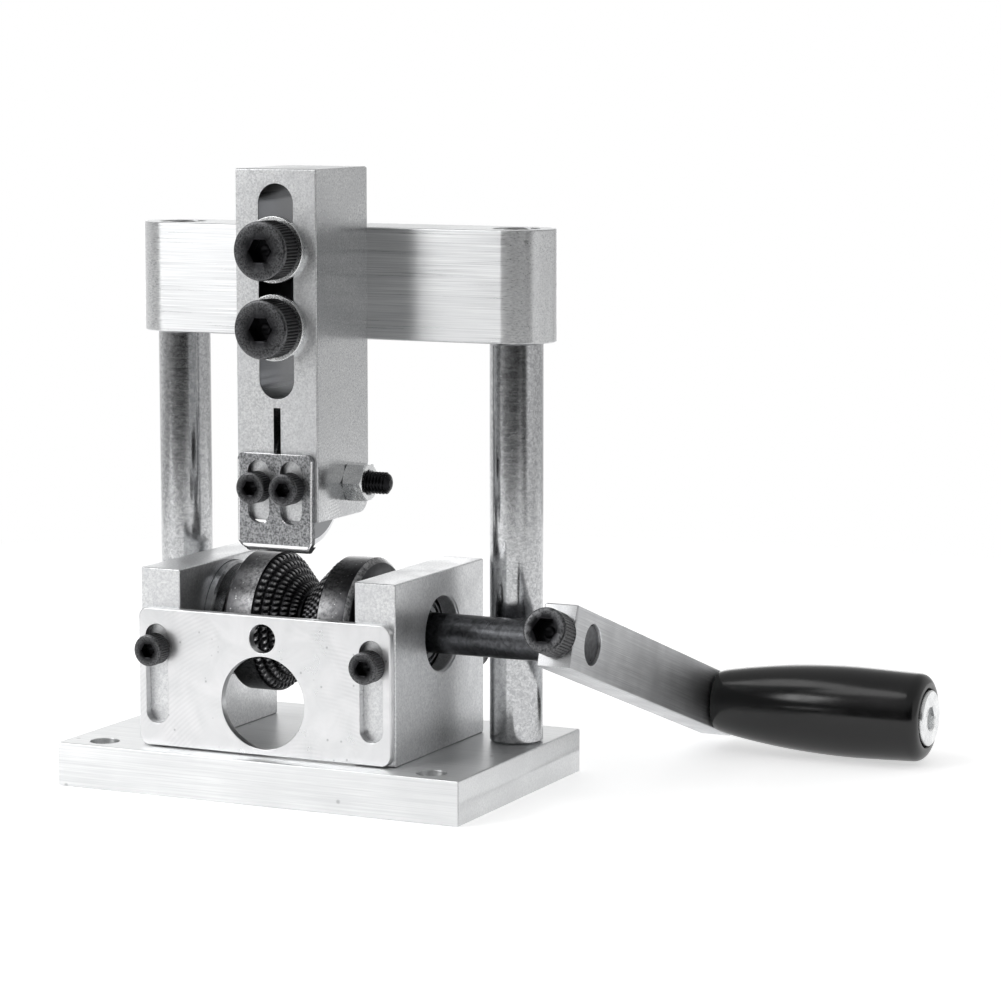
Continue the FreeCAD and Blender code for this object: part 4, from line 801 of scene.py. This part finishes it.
def makeFeedWheel(name, node, side):
    wheel, band = feedWheel, bandEdges
    steps = wheel["stepsPerTooth"]
    count = wheel["teeth"] * steps
    rows = wheel["rings"] * steps
    rise = wheel["radius"] - wheel["groove"]
    slope = math.hypot(rise, wheel["cone"])
    place = stand(Vector((0, shaftAxis.y, shaftAxis.z)), (side, 0, 0))
    bm = bmesh.new()
    tips = bm.verts.layers.float.new("wearAndSheen")
    grooveShades = bm.verts.layers.float.new("paintedGrooveShade")
    loops = []

    def addRing(radius, height, wearAndSheen=0):
        loops.append(addLoop(bm, place, radius, height, count))
        for vertex in loops[-1]:
            vertex[tips] = wearAndSheen

    def addToothRow(way):
        # the teeth are cut square to the cone
        peaks = [toothPeak(k / steps, way * wheel["rings"]) for k in range(count)]
        sinks = [wheel["depth"] * (1 - peak) for peak in peaks]
        radii = [wheel["groove"] + rise * way - sink * wheel["cone"] / slope for sink in sinks]
        heights = [wheel["gap"] + wheel["cone"] * way + sink * rise / slope for sink in sinks]
        loops.append(addLoop(bm, place, radii, heights, count))
        for vertex, peak in zip(loops[-1], peaks):
            # the pale tops are rubbed metal and a painted glint, paler towards the outer rows
            bright = max(0, (peak - wheel["wearAndGlintFrom"]) / (1 - wheel["wearAndGlintFrom"]))
            vertex[tips] = bright * (wheel["wearAndGlintInside"] + (1 - wheel["wearAndGlintInside"]) * way)
            # painted shade: darker in the grooves, lifted on the tops of the teeth
            vertex[grooveShades] = 1 - wheel["lift"] * peak

    addRing(wheel["bore"], wheel["gap"])
    addRing(wheel["groove"] - wheel["depth"], wheel["gap"])
    for row in range(rows + 1):
        addToothRow(row / rows)
    corner = wheel["outer"] - wheel["chamfer"]
    inner = wheel["radius"] - wheel["chamfer"]
    addRing(wheel["radius"], wheel["gap"] + wheel["cone"] + band["shoulder"], band["shoulderWear"])
    addRing(wheel["radius"], corner)
    addRing(wheel["radius"] - band["corner"], corner + band["corner"], band["cornerWear"])
    addRing(inner, wheel["outer"] - band["faceSink"], band["faceWear"])
    addRing(inner - band["faceEdge"], wheel["outer"])
    addRing(wheel["bore"], wheel["outer"])
    skinLoops(bm, loops, count, closed=True)
    piece = finishPiece(name, bm, bodyOf[node], slotOf[node], [node], sharpAngle=38)
    drillSetScrewHole(piece, side)


def drillSetScrewHole(piece, side):
    # the hole for the set screw, on the far side at rest
    hole = setScrewHole
    start = Vector((side * (feedWheel["outer"] - hole["inset"]) * mm, shaftAxis.y, shaftAxis.z))
    rings = [(0, hole["from"]), (hole["radius"], hole["from"]), (hole["radius"], hole["to"]), (0, hole["to"])]
    bm = bmesh.new()
    skinRings(bm, stand(start, (0, 1, 0)), rings, hole["segments"])
    bmesh.ops.recalc_face_normals(bm, faces=bm.faces)
    mesh = bpy.data.meshes.new("drill")
    bm.to_mesh(mesh)
    bm.free()
    drill = bpy.data.objects.new("drill", mesh)
    bpy.context.scene.collection.objects.link(drill)
    cut = piece.modifiers.new("setScrewHole", "BOOLEAN")
    cut.object = drill
    cut.operation = "DIFFERENCE"
    cut.solver = "EXACT"
    bpy.context.view_layer.update()
    cutMesh = bpy.data.meshes.new_from_object(piece.evaluated_get(bpy.context.evaluated_depsgraph_get()))
    piece.modifiers.clear()
    piece.data = cutMesh
    bpy.data.objects.remove(drill)


makeFeedWheel("leftFeedWheel", "left_feed_wheel", -1)
makeFeedWheel("rightFeedWheel", "right_feed_wheel", 1)
print("feed wheels knurled:", feedWheel["teeth"], "teeth round")


# Inner bearing rings: chamfered lands with a stepped face, and the ball track

def makeInnerRaces():
    ring = {"bore": 4.55, "outside": 7.6, "step": 6.1, "lip": 7.0, "sink": 1.0, "chamfer": 0.4, "edge": 0.2,
            "stepLean": 0.1, "halfWidth": 4, "pitchRadius": 8.75, "track": 2.05, "trackSteps": 12,
            "segments": 96}
    half = ring["halfWidth"]
    floor = half - ring["sink"]
    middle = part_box("bearing_outer_races")[1].x - half * mm
    reach = math.sqrt(ring["track"] ** 2 - (ring["pitchRadius"] - ring["outside"]) ** 2)
    track = []
    for k in range(ring["trackSteps"] + 1):
        along = -reach + 2 * reach * k / ring["trackSteps"]
        track.append((ring["pitchRadius"] - math.sqrt(ring["track"] ** 2 - along ** 2), along))
    face = [(ring["outside"], half - ring["edge"]), (ring["outside"] - ring["edge"], half),
            (ring["lip"], half), (ring["lip"] - ring["stepLean"], floor),
            (ring["step"] + ring["stepLean"], floor), (ring["step"], half),
            (ring["bore"] + ring["chamfer"], half), (ring["bore"], half - ring["chamfer"])]
    profile = track + face + [(radius, -along) for radius, along in reversed(face)]
    bm = bmesh.new()
    for side in (-1, 1):
        place = stand((side * middle, shaftAxis.y, shaftAxis.z), (1, 0, 0))
        skinRings(bm, place, profile, ring["segments"], closed=True)
    finishPiece("bearingInnerRaces", bm, "drive", "bearing_steel", ["bearing_inner_races"], sharpAngle=25)


makeInnerRaces()
print("inner bearing rings turned")


# Handle: turned grip and its spindle

def makeGrip():
    # bow is the arc from the neck to the widest place, taper runs from there to the rounded end
    grip = {"neck": 7.3, "neckFace": 0.5, "neckEdge": 0.12, "widest": 10.7, "widestAt": 34, "end": 10.3,
            "rounding": 2.8, "bore": 3.6, "recess": 6.9, "recessDepth": 2.5, "recessEdge": 0.2,
            "bowSteps": 24, "taperSteps": 8, "taperPower": 1.3, "roundSteps": 8, "segments": 128}
    low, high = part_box("handle_grip")
    length = (high.x - low.x) / mm
    rise = grip["widest"] - grip["neck"]
    bow = (grip["widestAt"] ** 2 + rise ** 2) / (2 * rise)
    roundStart = length - grip["rounding"]
    body = [(grip["bore"], 0), (grip["neck"] - grip["neckFace"], 0),
            (grip["neck"] - grip["neckEdge"], grip["neckEdge"])]
    for k in range(1, grip["bowSteps"] + 1):
        along = grip["widestAt"] * k / grip["bowSteps"]
        body.append((grip["widest"] - bow + math.sqrt(bow ** 2 - (grip["widestAt"] - along) ** 2), along))
    for k in range(1, grip["taperSteps"] + 1):
        share = k / grip["taperSteps"]
        narrowing = (grip["widest"] - grip["end"]) * share ** grip["taperPower"]
        body.append((grip["widest"] - narrowing, grip["widestAt"] + (roundStart - grip["widestAt"]) * share))
    for k in range(1, grip["roundSteps"] + 1):
        turn = math.pi / 2 * k / grip["roundSteps"]
        body.append((grip["end"] - grip["rounding"] * (1 - math.cos(turn)),
                     roundStart + grip["rounding"] * math.sin(turn)))
    recessFloor = length - grip["recessDepth"]
    body += [(grip["recess"] + grip["recessEdge"], length), (grip["recess"], length - grip["recessEdge"]),
             (grip["recess"], recessFloor), (grip["bore"], recessFloor)]
    bm = bmesh.new()
    place = stand((low.x, gripAxis.y, gripAxis.z), (1, 0, 0))
    skinRings(bm, place, body, grip["segments"], closed=True)
    finishPiece("handleGrip", bm, "grip", "grip_plastic", ["handle_grip"], sharpAngle=40)


def makeSpindle():
    # drillTip, drillDepth and socketDepth are shares of the head's height, drillRadius is a share of the key
    spindle = {"head": 6.5, "height": 3, "key": 5, "rod": 3.5, "stud": 2.5, "pitch": 0.8, "rim": 0.5,
               "tip": 1, "rimCurve": [(1.4, 0), (0.6, 0.1), (0.1, 0.6), (0, 1)], "drillTip": 0.6,
               "drillDepth": 0.55, "drillRadius": 0.3, "socketDepth": 0.52, "mouthWidth": 0.25,
               "mouthDepth": 0.3, "segments": 96}
    low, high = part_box("handle_spindle")
    rodEnd = (crankBox[1].x - high.x) / mm
    studEnd = (low.x - high.x) / mm
    socket = hexagonReach(spindle["key"])
    head, height = spindle["head"], spindle["height"]
    rings = [(0, -spindle["drillTip"] * height),
             (spindle["drillRadius"] * spindle["key"], -spindle["drillDepth"] * height),
             (socket, -spindle["socketDepth"] * height), (socket, -spindle["mouthDepth"]),
             (socket(0) + spindle["mouthWidth"], 0)]
    rings += rimRings(head, spindle["rim"], spindle["rimCurve"])
    rings += [(head, -height), (spindle["rod"], -height), (spindle["rod"], rodEnd), (spindle["stud"], rodEnd)]
    stud = spindle["stud"] - threadCut["play"]
    rings += threadRings(stud, spindle["pitch"], rodEnd, studEnd, spindle["tip"])
    bm = bmesh.new()
    skinRings(bm, stand((high.x, gripAxis.y, gripAxis.z), (1, 0, 0)), rings, spindle["segments"])
    finishPiece("handleSpindle", bm, "drive", "zinc_steel", ["handle_spindle"], sharpAngle=28)


makeGrip()
makeSpindle()
print("handle turned")


# The rest of the CAD nodes keep their shape and get their finish

for node, piece in nodes.items():
    piece.data.materials.clear()
    piece.data.materials.append(materialOf[slotOf[node]])


# Studio: white paper underfoot, white surround, soft lamps and a darker room for the metal to mirror

studio = {"paper": "#F2F2F2", "fibre": "#F5F5F5", "fibreSize": 0.4, "paperHalf": 450, "fadeFrom": 220,
          "fadeTo": 400, "lift": 0.55, "room": 1, "overhead": "#B4B4B4", "overheadSpan": (0.3, 0.65)}

# brightness of the room by compass bearing in degrees, 0 along X and 90 along Y
roomLevels = [(-180, 0.7), (-165, 0.55), (-150, 0.4), (-125, 0.2), (-108, 0.12), (-66, 0.03),
              (-28, 0.06), (-14, 0.75), (20, 0.62), (75, 0.58), (105, 0.85), (150, 0.9), (180, 0.7)]


def makeFloor():
    mesh = bpy.data.meshes.new("floor")
    half = studio["paperHalf"] * mm
    corners = [(-half, -half, 0), (half, -half, 0), (half, half, 0), (-half, half, 0)]
    mesh.from_pydata(corners, [], [(0, 1, 2, 3)])
    material, tree, shader = startMaterial("matteWhitePaper", Roughness=0.9, Specular_IOR_Level=0.1)
    fibre = mottle(tree, studio["fibreSize"], detail=2)
    colour = paint(tree, studio["paper"], [(fibre, 0, 1, 1, studio["fibre"])])
    tree.links.new(colour, shader.inputs["Base Color"])
    # the paper is lifted a little for the eye and for reflections, and fades into the white surround
    path = addNode(tree, "LightPath").outputs
    place = addNode(tree, "TexCoord").outputs["Object"]
    away = addNode(tree, "VectorMath", [place], operation="LENGTH").outputs["Value"]
    fade = addNode(tree, "MapRange", [away, studio["fadeFrom"] * mm, studio["fadeTo"] * mm])
    glow = addNode(tree, "Emission", {"Strength": studio["lift"]})
    white = addNode(tree, "Emission", {"Strength": 1})
    lifted = addNode(tree, "AddShader", [shader, glow])
    faded = addNode(tree, "MixShader", [fade, lifted, white])
    mirrored = addNode(tree, "MixShader", [path["Is Glossy Ray"], shader, lifted])
    seen = addNode(tree, "MixShader", [path["Is Camera Ray"], mirrored, faded])
    tree.links.new(seen.outputs[0], tree.nodes["Material Output"].inputs["Surface"])
    mesh.materials.append(material)
    floor = bpy.data.objects.new("floor", mesh)
    bpy.context.scene.collection.objects.link(floor)


def makeWorld():
    world = bpy.data.worlds.new("studioWorld")
    bpy.context.scene.world = world
    world.use_nodes = True
    tree = world.node_tree
    background = tree.nodes["Background"]
    way = addNode(tree, "TexCoord").outputs["Generated"]
    split = addNode(tree, "SeparateXYZ", [way]).outputs
    bearing = addNode(tree, "Math", [split["Y"], split["X"]], operation="ARCTAN2")
    ramp = addNode(tree, "ValToRGB", [addNode(tree, "MapRange", [bearing, -math.pi, math.pi])])
    elements = ramp.color_ramp.elements
    for degrees, level in roomLevels[1:-1]:
        elements.new((degrees + 180) / 360).color = (level, level, level, 1)
    for end in (0, -1):
        elements[end].color = (roomLevels[end][1],) * 3 + (1,)
    overhead = [(split["Z"], *studio["overheadSpan"], 1, studio["overhead"])]
    tree.links.new(paint(tree, ramp.outputs["Color"], overhead), background.inputs["Color"])
    background.inputs["Strength"].default_value = studio["room"]
    white = addNode(tree, "Background", {"Color": "#FFFFFF", "Strength": 1})
    toCamera = addNode(tree, "LightPath").outputs["Is Camera Ray"]
    seen = addNode(tree, "MixShader", [toCamera, background, white])
    tree.links.new(seen.outputs[0], tree.nodes["World Output"].inputs["Surface"])


# places, sizes and the point that the lamps look at are in metres, power is in watts
lampAim = (0.02, 0.01, 0.06)
lamps = {
    "topSoftbox": {"place": (-0.30, -0.22, 0.85), "size": (0.6, 0.3), "power": 1.0},
    "frontSoftbox": {"place": (-0.55, -0.68, 0.56), "size": (0.46, 0.38), "power": 2.7},
    "lowFrontLamp": {"place": (-0.55, -0.83, 0.22), "size": (0.46, 0.12), "power": 0.5},
    "backSoftbox": {"place": (-0.38, 0.85, 0.18), "size": (0.8, 0.3), "power": 1.1},
}
# places in metres; the focal length comes from how large the photograph shows the part
view = {"place": (0.360, -0.671, 0.162), "aim": (0.0369, 0.017, 0.0637), "focalPixels": 3410,
        "imagePixels": 1001, "sensor": 36, "nearest": 0.01, "farthest": 20}


def aimAt(piece, place, aim):
    piece.location = place
    piece.rotation_euler = (Vector(aim) - piece.location).to_track_quat("-Z", "Y").to_euler()
    bpy.context.scene.collection.objects.link(piece)


def makeLamps():
    for name, lamp in lamps.items():
        light = bpy.data.lights.new(name, "AREA")
        light.shape = "RECTANGLE"
        light.size, light.size_y = lamp["size"]
        light.energy = lamp["power"]
        piece = bpy.data.objects.new(name, light)
        piece.visible_camera = False
        aimAt(piece, lamp["place"], lampAim)


def makeCamera():
    data = bpy.data.cameras.new("camera")
    data.sensor_width = view["sensor"]
    data.lens = view["focalPixels"] / view["imagePixels"] * data.sensor_width
    data.clip_start, data.clip_end = view["nearest"], view["farthest"]
    camera = bpy.data.objects.new("camera", data)
    aimAt(camera, view["place"], view["aim"])
    bpy.context.scene.camera = camera


makeFloor()
makeWorld()
makeLamps()
makeCamera()
bpy.context.scene.view_settings.view_transform = "Standard"
print("studio lit")
